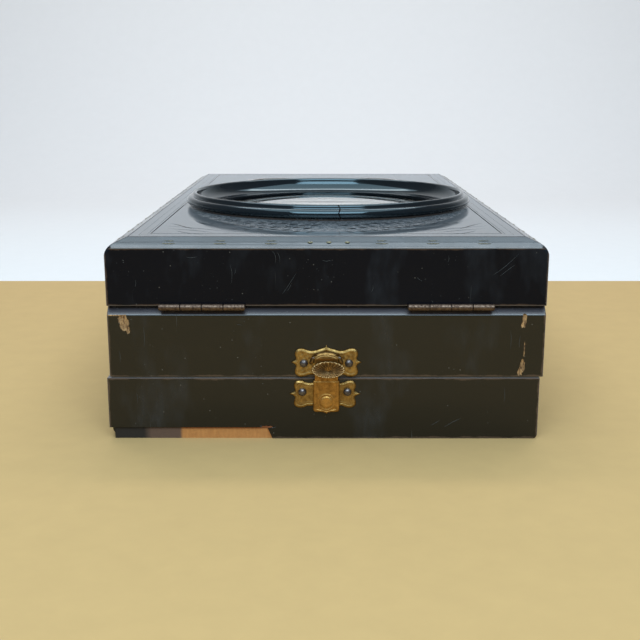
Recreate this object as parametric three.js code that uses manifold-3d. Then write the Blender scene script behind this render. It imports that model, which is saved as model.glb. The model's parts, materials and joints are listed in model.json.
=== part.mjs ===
// A folding stereo graphoscope in box form, ebonised wood with brass fittings, shown closed.
// Three sections lie on each other: a card box at the bottom, a platform hinged to its back edge,
// and a lens lid hinged to the platform's front edge. The lid carries one large reading lens in a
// turned ring and a pair of stereo lenses. An easel on a sliding carriage lies folded on the deck.
//
// Millimetres. +X to the right, +Y to the back, +Z up. The origin is on the underside of the card
// box, midway between the side walls of the platform and midway between its front and back faces.

import * as THREE from "three";
import { mergeVertices } from "three/addons/utils/BufferGeometryUtils.js";
import Module from "manifold-3d";

const wasm = await Module();
wasm.setup();

// ---- Driving dimensions -------------------------------------------------------------------------

const WIDTH = 225; // outside, left to right
const DEPTH = 405; // outside, front to back
const WALL = 8; // thickness of every side wall
const BOX_HEIGHT = 33.4; // card box
const PLATFORM_HEIGHT = 37.2;
const LID_RIM_HEIGHT = 29.9; // lens lid, up to the arris of its sloped border
const SLOPE_RISE = 4.4; // the sloped border round the top panel
const SLOPE_RUN = 10;
const REAR_SEAM = 0.4; // between card box and platform
const FRONT_SEAM = 0.5; // between platform and lid
const BOX_SHIFT = -1.5; // worn hinges let the card box sit this far to the left
const GLUE = 0.2; // gap between pieces that are glued or screwed together

const LENS_FROM_FRONT = 161; // centre of the large lens
const LENS_X = 2; // the ring stands a little to the right of the middle
const STEREO_FROM_FRONT = 318; // centres of the two stereo lenses
const STEREO_SPACING = 76;
const QUADRANT_RADIUS = 60; // middle of the brass quadrant stays, about the lid's hinge

// ---- Levels and planes worked out from them -----------------------------------------------------

const FRONT = -DEPTH / 2;
const BACK = DEPTH / 2;
const SIDE = WIDTH / 2;
const BOX_TOP = BOX_HEIGHT;
const PLATFORM_BASE = BOX_TOP + REAR_SEAM;
const PLATFORM_TOP = PLATFORM_BASE + PLATFORM_HEIGHT;
const LID_BASE = PLATFORM_TOP + FRONT_SEAM;
const ARRIS = LID_BASE + LID_RIM_HEIGHT;
const TOP = ARRIS + SLOPE_RISE;
const PANEL_THICK = 8;
const PANEL_UNDER = TOP - PANEL_THICK;
const FLOOR_THICK = 5;
const DECK_UNDER = 57;
const DECK_TOP = 62;
const INNER_FRONT = FRONT + WALL;
const INNER_BACK = BACK - WALL;
const INNER_SIDE = SIDE - WALL;
const LENS_Y = FRONT + LENS_FROM_FRONT;
const STEREO_Y = FRONT + STEREO_FROM_FRONT;

const HINGE_LENGTH = 44;
const HINGE_X = 63.5; // centre of each hinge, left and right
const BARREL_RADIUS = 1.75;
const HINGE_PIN_RADIUS = 0.75;
const BARREL_STAND_OFF = 2; // hinge axis outside the wood's face
const LEAF_THICK = 0.8;
const LEAF_DEEP = 8;
const KNUCKLES = 4;
const LID_AXIS = { y: FRONT - BARREL_STAND_OFF, z: (PLATFORM_TOP + LID_BASE) / 2 };
const REAR_AXIS = { y: BACK + BARREL_STAND_OFF, z: (BOX_TOP + PLATFORM_BASE) / 2 };

// ---- Materials ----------------------------------------------------------------------------------

const finish = (color, roughness, metalness, extra = {}) =>
  new THREE.MeshStandardMaterial({ color, roughness, metalness, ...extra });
const EBONISED = finish(0x14130f, 0.35, 0);
const RING_LACQUER = finish(0x0d1014, 0.15, 0);
const INNER_WOOD = finish(0x5a3a22, 0.6, 0);
const BRASS = finish(0x9a7436, 0.4, 1);
const DARK_BRASS = finish(0x5a4a42, 0.5, 1);
const STEEL = finish(0x6a5f5c, 0.45, 1);
const GLASS = finish(0xe8f0ee, 0.03, 0, { transparent: true, opacity: 0.35 });

// ---- Shape helpers ------------------------------------------------------------------------------

// A block between two corners.
function block(x0, x1, y0, y1, z0, z1) {
  return new THREE.BoxGeometry(x1 - x0, y1 - y0, z1 - z0).translate(
    (x0 + x1) / 2,
    (y0 + y1) / 2,
    (z0 + z1) / 2,
  );
}

// A round bar along X or Z between two ends, centred on the other two coordinates.
function barX(radius, x0, x1, y, z, sides = 16) {
  return new THREE.CylinderGeometry(radius, radius, x1 - x0, sides)
    .rotateZ(-Math.PI / 2)
    .translate((x0 + x1) / 2, y, z);
}

function barZ(radius, z0, z1, x, y, sides = 48) {
  return new THREE.CylinderGeometry(radius, radius, z1 - z0, sides)
    .rotateX(Math.PI / 2)
    .translate(x, y, (z0 + z1) / 2);
}

// A solid of revolution about a vertical axis through (x, y); profile points are [radius, height].
function turned(profile, x, y, sides = 56) {
  const points = profile.map(([r, z]) => new THREE.Vector2(r, z));
  return new THREE.LatheGeometry(points, sides).rotateX(Math.PI / 2).translate(x, y, 0);
}

// An outline in the X-Z plane, extruded towards the front from the plane y.
function pressed(shape, y, thick, curveSegments = 5) {
  return new THREE.ExtrudeGeometry(shape, { depth: thick, bevelEnabled: false, curveSegments })
    .rotateX(Math.PI / 2)
    .translate(0, y, 0);
}

// A cross-section of [y, z] corners, extruded along X.
function moulding(section, x0, x1, curveSegments = 5) {
  const corners = (list) => new THREE.Shape(list.map(([y, z]) => new THREE.Vector2(y, z)));
  const shape = Array.isArray(section) ? corners(section) : section;
  return new THREE.ExtrudeGeometry(shape, { depth: x1 - x0, bevelEnabled: false, curveSegments })
    .rotateZ(Math.PI / 2)
    .rotateY(Math.PI / 2)
    .translate(x0, 0, 0);
}

// three.js geometry to and from a manifold-3d solid, for cuts and joins.
function solid(geometry) {
  const plain = geometry.clone();
  plain.deleteAttribute("normal");
  plain.deleteAttribute("uv");
  const merged = mergeVertices(plain, 1e-4);
  const made = new wasm.Manifold(
    new wasm.Mesh({
      numProp: 3,
      vertProperties: new Float32Array(merged.attributes.position.array),
      triVerts: new Uint32Array(merged.index.array),
    }),
  );
  return made;
}

function geometryOf(manifold) {
  const mesh = manifold.getMesh();
  return new THREE.BufferGeometry()
    .setAttribute("position", new THREE.BufferAttribute(mesh.vertProperties, 3))
    .setIndex(new THREE.BufferAttribute(mesh.triVerts, 1));
}

function join(first, ...rest) {
  return geometryOf(rest.reduce((sum, g) => sum.add(solid(g)), solid(first)));
}

function cut(first, ...rest) {
  return geometryOf(rest.reduce((left, g) => left.subtract(solid(g)), solid(first)));
}

const part = new THREE.Group();

function add(name, geometry, material) {
  const mesh = new THREE.Mesh(geometry, material);
  mesh.name = name;
  part.add(mesh);
}

// The two sides of the object: name suffix, and the sign of X.
const SIDES = [
  ["left", -1],
  ["right", 1],
];

// A block on one side: x0 and x1 are distances outwards from the middle.
function sideBlock(sign, x0, x1, y0, y1, z0, z1) {
  return sign > 0 ? block(x0, x1, y0, y1, z0, z1) : block(-x1, -x0, y0, y1, z0, z1);
}

// ---- Hinges -------------------------------------------------------------------------------------

// A butt hinge lies in a seam. outwards is -1 at the front face and +1 at the back face.
// The leaves are let into the wood above and below, and their knuckles alternate round the pin.
function hingeLeaf(centreX, axis, outwards, upper) {
  const start = centreX - HINGE_LENGTH / 2;
  const pitch = HINGE_LENGTH / KNUCKLES;
  const seamGap = 0.1;
  const z0 = upper ? axis.z + seamGap : axis.z - seamGap - LEAF_THICK;
  const face = axis.y - outwards * BARREL_STAND_OFF;
  const inner = face - outwards * LEAF_DEEP;
  const bore = HINGE_PIN_RADIUS + 0.2;
  const clearance = 0.15;
  const tongueEnd = axis.y - outwards * (bore + 0.2);
  const z1 = z0 + LEAF_THICK;
  const [y0, y1] = [Math.min(face, inner), Math.max(face, inner)];
  let leaf = solid(block(start, start + HINGE_LENGTH, y0, y1, z0, z1));
  for (let i = upper ? 0 : 1; i < KNUCKLES; i += 2) {
    const x0 = start + i * pitch + clearance;
    const x1 = start + (i + 1) * pitch - clearance;
    const edge = face - outwards * 0.5;
    const tongue = block(x0, x1, Math.min(edge, tongueEnd), Math.max(edge, tongueEnd), z0, z1);
    const knuckle = solid(barX(BARREL_RADIUS, x0, x1, axis.y, axis.z)).add(solid(tongue));
    leaf = leaf.add(knuckle.subtract(solid(barX(bore, x0 - 1, x1 + 1, axis.y, axis.z, 12))));
  }
  return geometryOf(leaf);
}

// The pocket that a leaf needs in the edge of a wall.
function leafPocket(centreX, axis, outwards, upper) {
  const loose = 0.3;
  const face = axis.y - outwards * (BARREL_STAND_OFF - 1);
  const inner = axis.y - outwards * (BARREL_STAND_OFF + LEAF_DEEP + loose);
  const z0 = upper ? axis.z : axis.z - LEAF_THICK - loose;
  return block(
    centreX - HINGE_LENGTH / 2 - loose,
    centreX + HINGE_LENGTH / 2 + loose,
    Math.min(face, inner),
    Math.max(face, inner),
    z0,
    z0 + LEAF_THICK + loose,
  );
}

function leafPockets(axis, outwards, upper) {
  return SIDES.map(([, sign]) => leafPocket(sign * HINGE_X, axis, outwards, upper));
}

function hinge(name, centreX, axis, outwards) {
  const x0 = centreX - HINGE_LENGTH / 2;
  const x1 = centreX + HINGE_LENGTH / 2;
  add(`${name}_upper_leaf`, hingeLeaf(centreX, axis, outwards, true), DARK_BRASS);
  add(`${name}_lower_leaf`, hingeLeaf(centreX, axis, outwards, false), DARK_BRASS);
  add(`${name}_pin`, barX(HINGE_PIN_RADIUS, x0, x1, axis.y, axis.z, 8), STEEL);
}

for (const [side, sign] of SIDES) {
  hinge(`lid_hinge_${side}`, sign * HINGE_X, LID_AXIS, -1);
  hinge(`rear_hinge_${side}`, sign * HINGE_X, REAR_AXIS, 1);
}

// ---- Card box -----------------------------------------------------------------------------------

// The strip of veneer that has broken away along the bottom of the front, at the left.
const LOST_STRIP = { length: 82, height: 6.6, depth: 1.2, corner: 3 };

function cardBox() {
  const left = BOX_SHIFT - SIDE;
  const right = BOX_SHIFT + SIDE;
  const strip = block(
    left - 1,
    left + LOST_STRIP.length,
    FRONT - 1,
    FRONT + LOST_STRIP.depth,
    -1,
    LOST_STRIP.height,
  );
  const cornerRight = left + LOST_STRIP.corner;
  const corner = block(left - 1, cornerRight, FRONT - 1, FRONT + WALL + 1, -1, LOST_STRIP.height);
  add("box_front", cut(block(left, right, FRONT, INNER_FRONT, 0, BOX_TOP), strip, corner), EBONISED);
  const back = block(left, right, INNER_BACK, BACK, 0, BOX_TOP);
  add("box_back", cut(back, ...leafPockets(REAR_AXIS, 1, false)), EBONISED);
  const y0 = INNER_FRONT + GLUE;
  const y1 = INNER_BACK - GLUE;
  add("box_left", block(left, left + WALL, y0, y1, 0, BOX_TOP), EBONISED);
  add("box_right", block(right - WALL, right, y0, y1, 0, BOX_TOP), EBONISED);
  const floorLeft = left + WALL + GLUE;
  const floorRight = right - WALL - GLUE;
  add("box_floor", block(floorLeft, floorRight, y0, y1, 0, FLOOR_THICK), INNER_WOOD);
}

// ---- Platform: four walls, the deck, and the rails that the carriage runs between -----------------

const PLATFORM_BEVEL = 3; // along the top front edge, under the hinge barrels
const RAIL_INNER = 79.3;
const RAIL_OUTER = 86;
const RAIL_TOP = 70.2;
const QUADRANT_X0 = 99.5; // inner face of the brass quadrants
const QUADRANT_X1 = 101.5;
const QUADRANT_BAND = 8;
const GUIDE_TOP = 67;
const GUIDE_THICK = 2.6;
const RUNNING_GAP = 0.4; // between a quadrant and its guide

function platform() {
  const section = [
    [FRONT, PLATFORM_BASE],
    [INNER_FRONT, PLATFORM_BASE],
    [INNER_FRONT, PLATFORM_TOP],
    [FRONT + PLATFORM_BEVEL, PLATFORM_TOP],
    [FRONT, PLATFORM_TOP - PLATFORM_BEVEL],
  ];
  const front = moulding(section, -SIDE, SIDE);
  add("platform_front", cut(front, ...leafPockets(LID_AXIS, -1, false)), EBONISED);
  const back = block(-SIDE, SIDE, INNER_BACK, BACK, PLATFORM_BASE, PLATFORM_TOP);
  add("platform_back", cut(back, ...leafPockets(REAR_AXIS, 1, true)), EBONISED);

  const y0 = INNER_FRONT + GLUE;
  const y1 = INNER_BACK - GLUE;
  const deckSide = INNER_SIDE - GLUE;
  // The quadrants pass through a notch in each side of the deck.
  const inner = QUADRANT_RADIUS - QUADRANT_BAND / 2;
  const outer = QUADRANT_RADIUS + QUADRANT_BAND / 2;
  const slotFront = LID_AXIS.y + Math.sqrt(inner ** 2 - (LID_AXIS.z - DECK_UNDER) ** 2) - 1;
  const slotBack = LID_AXIS.y + Math.sqrt(outer ** 2 - (LID_AXIS.z - GUIDE_TOP) ** 2) + 1;
  const slots = SIDES.map(([, sign]) =>
    sideBlock(sign, QUADRANT_X0 - 0.5, SIDE, slotFront, slotBack, DECK_UNDER - 1, DECK_TOP + 1),
  );
  add("deck_board", cut(block(-deckSide, deckSide, y0, y1, DECK_UNDER, DECK_TOP), ...slots), INNER_WOOD);

  for (const [side, sign] of SIDES) {
    const wall = sideBlock(sign, INNER_SIDE, SIDE, y0, y1, PLATFORM_BASE, PLATFORM_TOP);
    add(`platform_${side}`, wall, EBONISED);
    const rail = sideBlock(sign, RAIL_INNER, RAIL_OUTER, y0 + 2, y1 - 2, DECK_TOP + GLUE, RAIL_TOP);
    add(`carriage_rail_${side}`, rail, INNER_WOOD);
    const x1 = QUADRANT_X0 - RUNNING_GAP;
    const x0 = x1 - GUIDE_THICK;
    const guide = sideBlock(sign, x0, x1, slotFront - 2, slotBack + 2, DECK_TOP + GLUE, GUIDE_TOP);
    add(`quadrant_guide_${side}`, guide, BRASS);
  }
}

// ---- Lens lid -----------------------------------------------------------------------------------

// The top panel: vertical edges up to the arris, then the sloped border, then the flat top.
function slopedPanel() {
  const levels = [
    [SIDE, BACK, PANEL_UNDER],
    [SIDE, BACK, ARRIS],
    [SIDE - SLOPE_RUN, BACK - SLOPE_RUN, TOP],
  ];
  const positions = levels.flatMap(([x, y, z]) => [-x, -y, z, x, -y, z, x, y, z, -x, y, z]);
  const index = [0, 2, 1, 0, 3, 2, 8, 9, 10, 8, 10, 11];
  for (let level = 0; level < levels.length - 1; level++)
    for (let i = 0; i < 4; i++) {
      const a = level * 4 + i;
      const b = level * 4 + ((i + 1) % 4);
      index.push(a, b, b + 4, a, b + 4, a + 4);
    }
  return new THREE.BufferGeometry()
    .setAttribute("position", new THREE.Float32BufferAttribute(positions, 3))
    .setIndex(index);
}

const RING_HOLE = 83.7; // hole in the panel that takes the ring's sleeve
const STEREO_HOLE = 22;
const LENS_RADIUS = 76.8;
const LENS_EDGE_TOP = 103.4;
const LENS_EDGE = 3.6;
const LENS_SAG = 5.6;
const STEREO_LENS_RADIUS = 19.6;
const STEREO_SAG = 1.1;

function lidShell() {
  const [under, over] = [PANEL_UNDER - 1, TOP + 1];
  const holes = [barZ(RING_HOLE, under, over, LENS_X, LENS_Y, 56)];
  for (const [, sign] of SIDES)
    holes.push(barZ(STEREO_HOLE, under, over, (sign * STEREO_SPACING) / 2, STEREO_Y, 32));
  add("lid_panel", cut(slopedPanel(), ...holes), EBONISED);

  const wallTop = PANEL_UNDER - GLUE;
  const front = block(-SIDE, SIDE, FRONT, INNER_FRONT, LID_BASE, wallTop);
  add("lid_front", cut(front, ...leafPockets(LID_AXIS, -1, true)), EBONISED);
  add("lid_back", block(-SIDE, SIDE, INNER_BACK, BACK, LID_BASE, wallTop), EBONISED);
  const y0 = INNER_FRONT + GLUE;
  const y1 = INNER_BACK - GLUE;
  for (const [side, sign] of SIDES)
    add(`lid_${side}`, sideBlock(sign, INNER_SIDE, SIDE, y0, y1, LID_BASE, wallTop), EBONISED);
}

// The turned ring: a sleeve in the panel's hole, a low foot on the panel, a half-round bead, a quirk,
// a thin lip above it, and a hollow cove inside that runs down to the glass.
function lensRing() {
  const seat = TOP + GLUE;
  const sleeve = RING_HOLE - 0.3;
  const bore = LENS_RADIUS + 0.3;
  const window = 75.4;
  const glassStop = LENS_EDGE_TOP + 0.5;
  const outside = [
    [bore, PANEL_UNDER],
    [sleeve, PANEL_UNDER],
    [sleeve, seat],
    [90.2, seat],
    [90.2, seat + 0.9],
    [91.6, seat + 1.8],
    [92.2, seat + 3.6],
    [91.6, seat + 5.4],
    [90, seat + 6.6],
    [88.8, seat + 6.8],
    [89, seat + 7.7],
    [88.3, seat + 8.6],
    [87, seat + 9],
    [85.8, seat + 8.6],
  ];
  const coveTop = { r: 85.1, z: seat + 7.4 };
  const coveFoot = { r: window, z: glassStop + 1 };
  const cove = [];
  const coveSteps = 4;
  for (let i = 0; i <= coveSteps; i++) {
    const a = (i / coveSteps) * (Math.PI / 2);
    cove.push([
      coveTop.r - (coveTop.r - coveFoot.r) * (1 - Math.cos(a)),
      coveTop.z - (coveTop.z - coveFoot.z) * Math.sin(a),
    ]);
  }
  const rebate = [
    [window, glassStop],
    [bore, glassStop],
    [bore, PANEL_UNDER],
  ];
  add("lens_ring", turned([...outside, ...cove, ...rebate], LENS_X, LENS_Y), RING_LACQUER);
}

// A lens with two convex faces, as a profile of [radius, height] from the axis out and back.
function lensProfile(radius, edgeTop, edge, sag, steps) {
  const face = (t) => sag * (1 - t * t);
  const upper = [];
  const lower = [];
  for (let i = 0; i <= steps; i++) {
    const t = i / steps;
    upper.push([radius * (1 - t), edgeTop + face(1 - t)]);
    lower.push([radius * t, edgeTop - edge - face(t)]);
  }
  return [...lower, ...upper];
}

function optics() {
  const glass = lensProfile(LENS_RADIUS, LENS_EDGE_TOP, LENS_EDGE, LENS_SAG, 5);
  add("magnifying_lens", turned(glass, LENS_X, LENS_Y), GLASS);
  const keeperTop = PANEL_UNDER - GLUE;
  const keeperBase = keeperTop - 3;
  const [keeperInner, keeperOuter] = [75.6, 88];
  const keeper = [
    [keeperInner, keeperBase],
    [keeperOuter, keeperBase],
    [keeperOuter, keeperTop],
    [keeperInner, keeperTop],
    [keeperInner, keeperBase],
  ];
  add("lens_keeper_ring", turned(keeper, LENS_X, LENS_Y), INNER_WOOD);

  for (const [side, sign] of SIDES) {
    const x = (sign * STEREO_SPACING) / 2;
    const stereoTop = TOP - 2;
    const stereoEdge = 2.4;
    const pair = lensProfile(STEREO_LENS_RADIUS, stereoTop, stereoEdge, STEREO_SAG, 3);
    add(`stereo_lens_${side}`, turned(pair, x, STEREO_Y, 32), GLASS);
    const sleeve = STEREO_HOLE - 0.3;
    const bore = STEREO_LENS_RADIUS + 0.2;
    const lip = 18.6;
    const seat = TOP + GLUE;
    const cell = [
      [bore, PANEL_UNDER],
      [sleeve, PANEL_UNDER],
      [sleeve, seat],
      [24.5, seat],
      [24, seat + 0.9],
      [lip + 0.4, seat + 0.9],
      [lip, stereoTop + 0.2],
      [bore, stereoTop + 0.2],
      [bore, PANEL_UNDER],
    ];
    add(`stereo_cell_${side}`, turned(cell, x, STEREO_Y, 32), RING_LACQUER);
  }
  const septum = { x: 1.5, y: 30, deep: 12 };
  const [near, far] = [STEREO_Y - septum.y, STEREO_Y + septum.y];
  const board = block(-septum.x, septum.x, near, far, keeperTop - septum.deep, keeperTop);
  add("stereo_septum", board, EBONISED);
}

// A brass quadrant is an arc about the lid's hinge, so it slides through its guide as the lid opens.
function quadrants() {
  const top = THREE.MathUtils.degToRad(14);
  const end = THREE.MathUtils.degToRad(-76);
  const inner = QUADRANT_RADIUS - QUADRANT_BAND / 2;
  const outer = QUADRANT_RADIUS + QUADRANT_BAND / 2;
  for (const [side, sign] of SIDES) {
    const arc = new THREE.Shape();
    arc.absarc(0, 0, outer, end, top, false);
    arc.absarc(0, 0, inner, top, end, true);
    arc.closePath();
    const x0 = sign > 0 ? QUADRANT_X0 : -QUADRANT_X1;
    const x1 = x0 + QUADRANT_X1 - QUADRANT_X0;
    const band = moulding(arc, x0, x1, 10).translate(0, LID_AXIS.y, LID_AXIS.z);
    const packing = sideBlock(
      sign,
      QUADRANT_X1 - 0.5,
      INNER_SIDE - GLUE,
      LID_AXIS.y + inner + 1,
      LID_AXIS.y + outer - 2.5,
      LID_AXIS.z + 2,
      LID_AXIS.z + 11,
    );
    add(`quadrant_stay_${side}`, join(band, packing), BRASS);
  }
}

// ---- Easel: a carriage between the rails, the leaf hinged on it, and the sliding card holder ------

const CARRIAGE = { front: -176, back: -140, base: DECK_TOP + 0.4, top: 68.4, half: 79 };
const EAR = { inner: 57, outer: 63, half: 4, top: 75.5 }; // lugs that carry the easel's pin
const EASEL_AXIS = { y: -158, z: 72 };
const EASEL_PIN_RADIUS = 1.1;
const EASEL_BORE = 1.3;
const EASEL_BARREL = 3;
const KNOB_Y = -171;
const LEAF = { half: 54, back: -18, under: 70, upper: 75 };
const GUIDE = { front: -140, inner: 30.3, outer: 34, top: 77.4 };
const PHOTO_LEDGE = { front: -148, back: -143, top: 81 };
const SLIDE = { half: 30, front: -138, back: -18, under: 75.3, upper: 77.8 };
const CARD_LEDGE = { half: 91, front: -66, back: -60, top: 82.5 };

function easel() {
  const { y, z } = EASEL_AXIS;
  const { front, back, base, top, half } = CARRIAGE;
  const ears = SIDES.map(([, sign]) =>
    sideBlock(sign, EAR.inner, EAR.outer, y - EAR.half, y + EAR.half, top - 0.5, EAR.top),
  );
  const earBore = barX(EASEL_BORE, -EAR.outer - 1, EAR.outer + 1, y, z, 10);
  add("carriage", cut(join(block(-half, half, front, back, base, top), ...ears), earBore), INNER_WOOD);
  add("easel_pin", barX(EASEL_PIN_RADIUS, -EAR.outer, EAR.outer, y, z, 8), BRASS);
  const knob = [
    [0, top + GLUE],
    [3, top + GLUE],
    [2, 71],
    [4.2, 73.5],
    [3, 76],
    [0, 76.5],
  ];
  add("carriage_knob", turned(knob, 0, KNOB_Y, 16), BRASS);

  const barrel = barX(EASEL_BARREL, -LEAF.half, LEAF.half, y, z, 14);
  const board = block(-LEAF.half, LEAF.half, y, LEAF.back, LEAF.under, LEAF.upper);
  const bore = barX(EASEL_BORE, -LEAF.half - 1, LEAF.half + 1, y, z, 10);
  add("easel_leaf", cut(join(barrel, board), bore), INNER_WOOD);
  const face = LEAF.upper + GLUE;
  for (const [side, sign] of SIDES) {
    const { inner, outer } = GUIDE;
    const guide = sideBlock(sign, inner, outer, GUIDE.front, LEAF.back, face, GUIDE.top);
    add(`slide_guide_${side}`, guide, INNER_WOOD);
  }
  const stop = block(-LEAF.half, LEAF.half, PHOTO_LEDGE.front, PHOTO_LEDGE.back, face, PHOTO_LEDGE.top);
  add("photo_ledge", stop, INNER_WOOD);
  const tongue = block(-SLIDE.half, SLIDE.half, SLIDE.front, SLIDE.back, SLIDE.under, SLIDE.upper);
  add("card_slide", tongue, INNER_WOOD);
  const shelf = CARD_LEDGE;
  const shelfBase = SLIDE.upper + GLUE;
  const ledge = block(-shelf.half, shelf.half, shelf.front, shelf.back, shelfBase, shelf.top);
  add("stereo_card_ledge", ledge, INNER_WOOD);
}

// ---- Catch: pressed brass plates, and a hasp with a shell grip that hangs over a stud -------------

const UPPER_PLATE = { base: 34.2, height: 15.4, half: 17.6, thick: 0.9 };
const LOWER_PLATE = { base: 17.2, height: 15.2, half: 17.4, thick: 0.9 };
const CATCH_PIN_X = 11.7;
const UPPER_PIN_Z = 41.4;
const LOWER_PIN_Z = 26;
const STUD = { z: 22.6, base: 2.2, top: 1.6, height: 1.2, room: 3 };
const COVER = { half: 8.6, base: 41.6, shoulder: 47.6, top: 48, deep: 2.9 };
const HASP_AXIS = { y: FRONT - 2.4, z: 44.6 };
const HASP_PIN_RADIUS = 0.6;
const HASP_BORE = 0.75;
const HASP_EYE = 1.15;
const HASP = { half: 6.7, neckHalf: 6, tip: 14.6, shoulder: 32.6, thick: 1.1 };
const HASP_BACK = FRONT - 2.1;
const HASP_FRONT = HASP_BACK - HASP.thick;
const SHELL = { radius: 9, back: 7.4, thick: 2.2, flat: 0.46, tilt: 0.35, out: 4.4, z: 40 };
const STEM = { half: 4, base: 38.4, top: 40.8 };

// A plate's outline: two round lobes and a small point at each end, and a peak on its top edge.
function lobedPlate(plate, x, peak) {
  const { base, height, half } = plate;
  const top = base + height;
  const middle = base + height / 2;
  const lobe = half * 0.45;
  const s = new THREE.Shape();
  s.moveTo(x - half - 1.6, middle);
  s.quadraticCurveTo(x - half, middle - 1, x - half, middle - 2);
  s.bezierCurveTo(x - half - 0.3, base, x - half + 3, base, x - half + 4.5, base);
  s.quadraticCurveTo(x - lobe - 1, base, x - lobe, base + 1.6);
  s.lineTo(x + lobe, base + 1.6);
  s.quadraticCurveTo(x + lobe + 1, base, x + half - 4.5, base);
  s.bezierCurveTo(x + half - 3, base, x + half + 0.3, base, x + half, middle - 2);
  s.quadraticCurveTo(x + half, middle - 1, x + half + 1.6, middle);
  s.quadraticCurveTo(x + half, middle + 1, x + half, middle + 2);
  s.bezierCurveTo(x + half + 0.3, top, x + half - 3, top, x + half - 4.5, top);
  s.quadraticCurveTo(x + lobe + 1, top - 1.4, x + lobe, top - 1.2);
  s.quadraticCurveTo(x + 2, top + peak, x, top + peak + (peak > 0 ? 1.2 : 0));
  s.quadraticCurveTo(x - 2, top + peak, x - lobe, top - 1.2);
  s.quadraticCurveTo(x - lobe - 1, top - 1.4, x - half + 4.5, top);
  s.bezierCurveTo(x - half + 3, top, x - half - 0.3, top, x - half, middle + 2);
  s.quadraticCurveTo(x - half, middle + 1, x - half - 1.6, middle);
  return s;
}

// A domed nail head with its flat back on the plane y.
function nailHead(x, y, z) {
  const profile = [
    [0, 0],
    [2.1, 0],
    [1.8, 0.9],
    [1, 1.5],
    [0, 1.7],
  ];
  const points = profile.map(([r, h]) => new THREE.Vector2(r, h));
  return new THREE.LatheGeometry(points, 12).rotateX(Math.PI).translate(x, y, z);
}

function catchFittings() {
  const face = FRONT - GLUE;
  const upperFace = face - UPPER_PLATE.thick;
  const lowerFace = face - LOWER_PLATE.thick;
  const lowerX = BOX_SHIFT / 2;
  add("catch_plate", pressed(lobedPlate(UPPER_PLATE, 0, 1.2), face, UPPER_PLATE.thick, 4), BRASS);
  const stud = new THREE.CylinderGeometry(STUD.base, STUD.top, STUD.height, 12);
  stud.translate(lowerX, lowerFace, STUD.z);
  const lowerPlate = pressed(lobedPlate(LOWER_PLATE, lowerX, -1), face, LOWER_PLATE.thick, 4);
  add("keeper_plate", join(lowerPlate, stud), BRASS);
  for (const [side, sign] of SIDES) {
    const x = sign * CATCH_PIN_X;
    add(`catch_pin_${side}`, nailHead(x, upperFace - 0.1, UPPER_PIN_Z), STEEL);
    add(`keeper_pin_${side}`, nailHead(lowerX + x, lowerFace - 0.1, LOWER_PIN_Z), STEEL);
  }

  // The arched cover of the hasp's pivot stands on the upper plate, open below.
  const arch = new THREE.Shape();
  arch.moveTo(-COVER.half, COVER.base);
  arch.quadraticCurveTo(-7, COVER.shoulder, 0, COVER.top);
  arch.quadraticCurveTo(7, COVER.shoulder, COVER.half, COVER.base);
  arch.closePath();
  const coverBack = upperFace - 0.1;
  const room = join(
    block(-6.6, 6.6, coverBack - 2.4, coverBack + 1, 38, 46),
    block(-6.6, 6.6, coverBack - 4, coverBack - 2, 38, 44.2),
  );
  const { y, z } = HASP_AXIS;
  const axleHole = barX(HASP_BORE, -9, 9, y, z, 10);
  add("catch_cover", cut(pressed(arch, coverBack, COVER.deep, 6), room, axleHole), BRASS);
  add("hasp_pin", barX(HASP_PIN_RADIUS, -7.4, 7.4, y, z, 8), STEEL);

  // The hasp: a tongue with an ogee foot, a narrow neck up to its eye, and the shell grip in front.
  const { half, neckHalf, tip, shoulder } = HASP;
  const tongue = new THREE.Shape();
  tongue.moveTo(-half, shoulder);
  tongue.lineTo(-half, tip + 1.6);
  tongue.quadraticCurveTo(-2, tip + 1.6, 0, tip);
  tongue.quadraticCurveTo(2, tip + 1.6, half, tip + 1.6);
  tongue.lineTo(half, shoulder);
  tongue.closePath();
  const neck = block(-neckHalf, neckHalf, HASP_FRONT, HASP_BACK, shoulder - 1, z);
  const eye = barX(HASP_EYE, -neckHalf, neckHalf, y, z, 12);
  const eyeHole = barX(HASP_BORE, -neckHalf - 1, neckHalf + 1, y, z, 10);
  const shell = new THREE.CylinderGeometry(SHELL.radius, SHELL.back, SHELL.thick, 20)
    .scale(1, 1, SHELL.flat)
    .rotateX(SHELL.tilt)
    .translate(0, HASP_FRONT - SHELL.out, SHELL.z);
  const stemFront = HASP_FRONT - SHELL.out - 0.2;
  const stem = block(-STEM.half, STEM.half, stemFront, HASP_FRONT + 0.3, STEM.base, STEM.top);
  const studRoom = new THREE.CylinderGeometry(STUD.room, STUD.room, 1, 16);
  studRoom.translate(0, HASP_BACK, STUD.z);
  const body = join(pressed(tongue, HASP_BACK, HASP.thick), neck, eye, stem, shell);
  add("hasp", cut(body, eyeHole, studRoom), BRASS);
}

cardBox();
platform();
lidShell();
lensRing();
optics();
quadrants();
easel();
catchFittings();

export default part;
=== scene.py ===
"""A folding stereo viewer in ebonised wood and brass, closed: its finished pieces and its stage.

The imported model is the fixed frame. Every size and place below comes from it, in metres, or from a
maker's dimension in millimetres that is multiplied by MM.
"""

import json
import math

import bmesh
import bpy
import numpy as np
from mathutils import Matrix, Vector, noise
from mathutils.geometry import delaunay_2d_cdt


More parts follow.
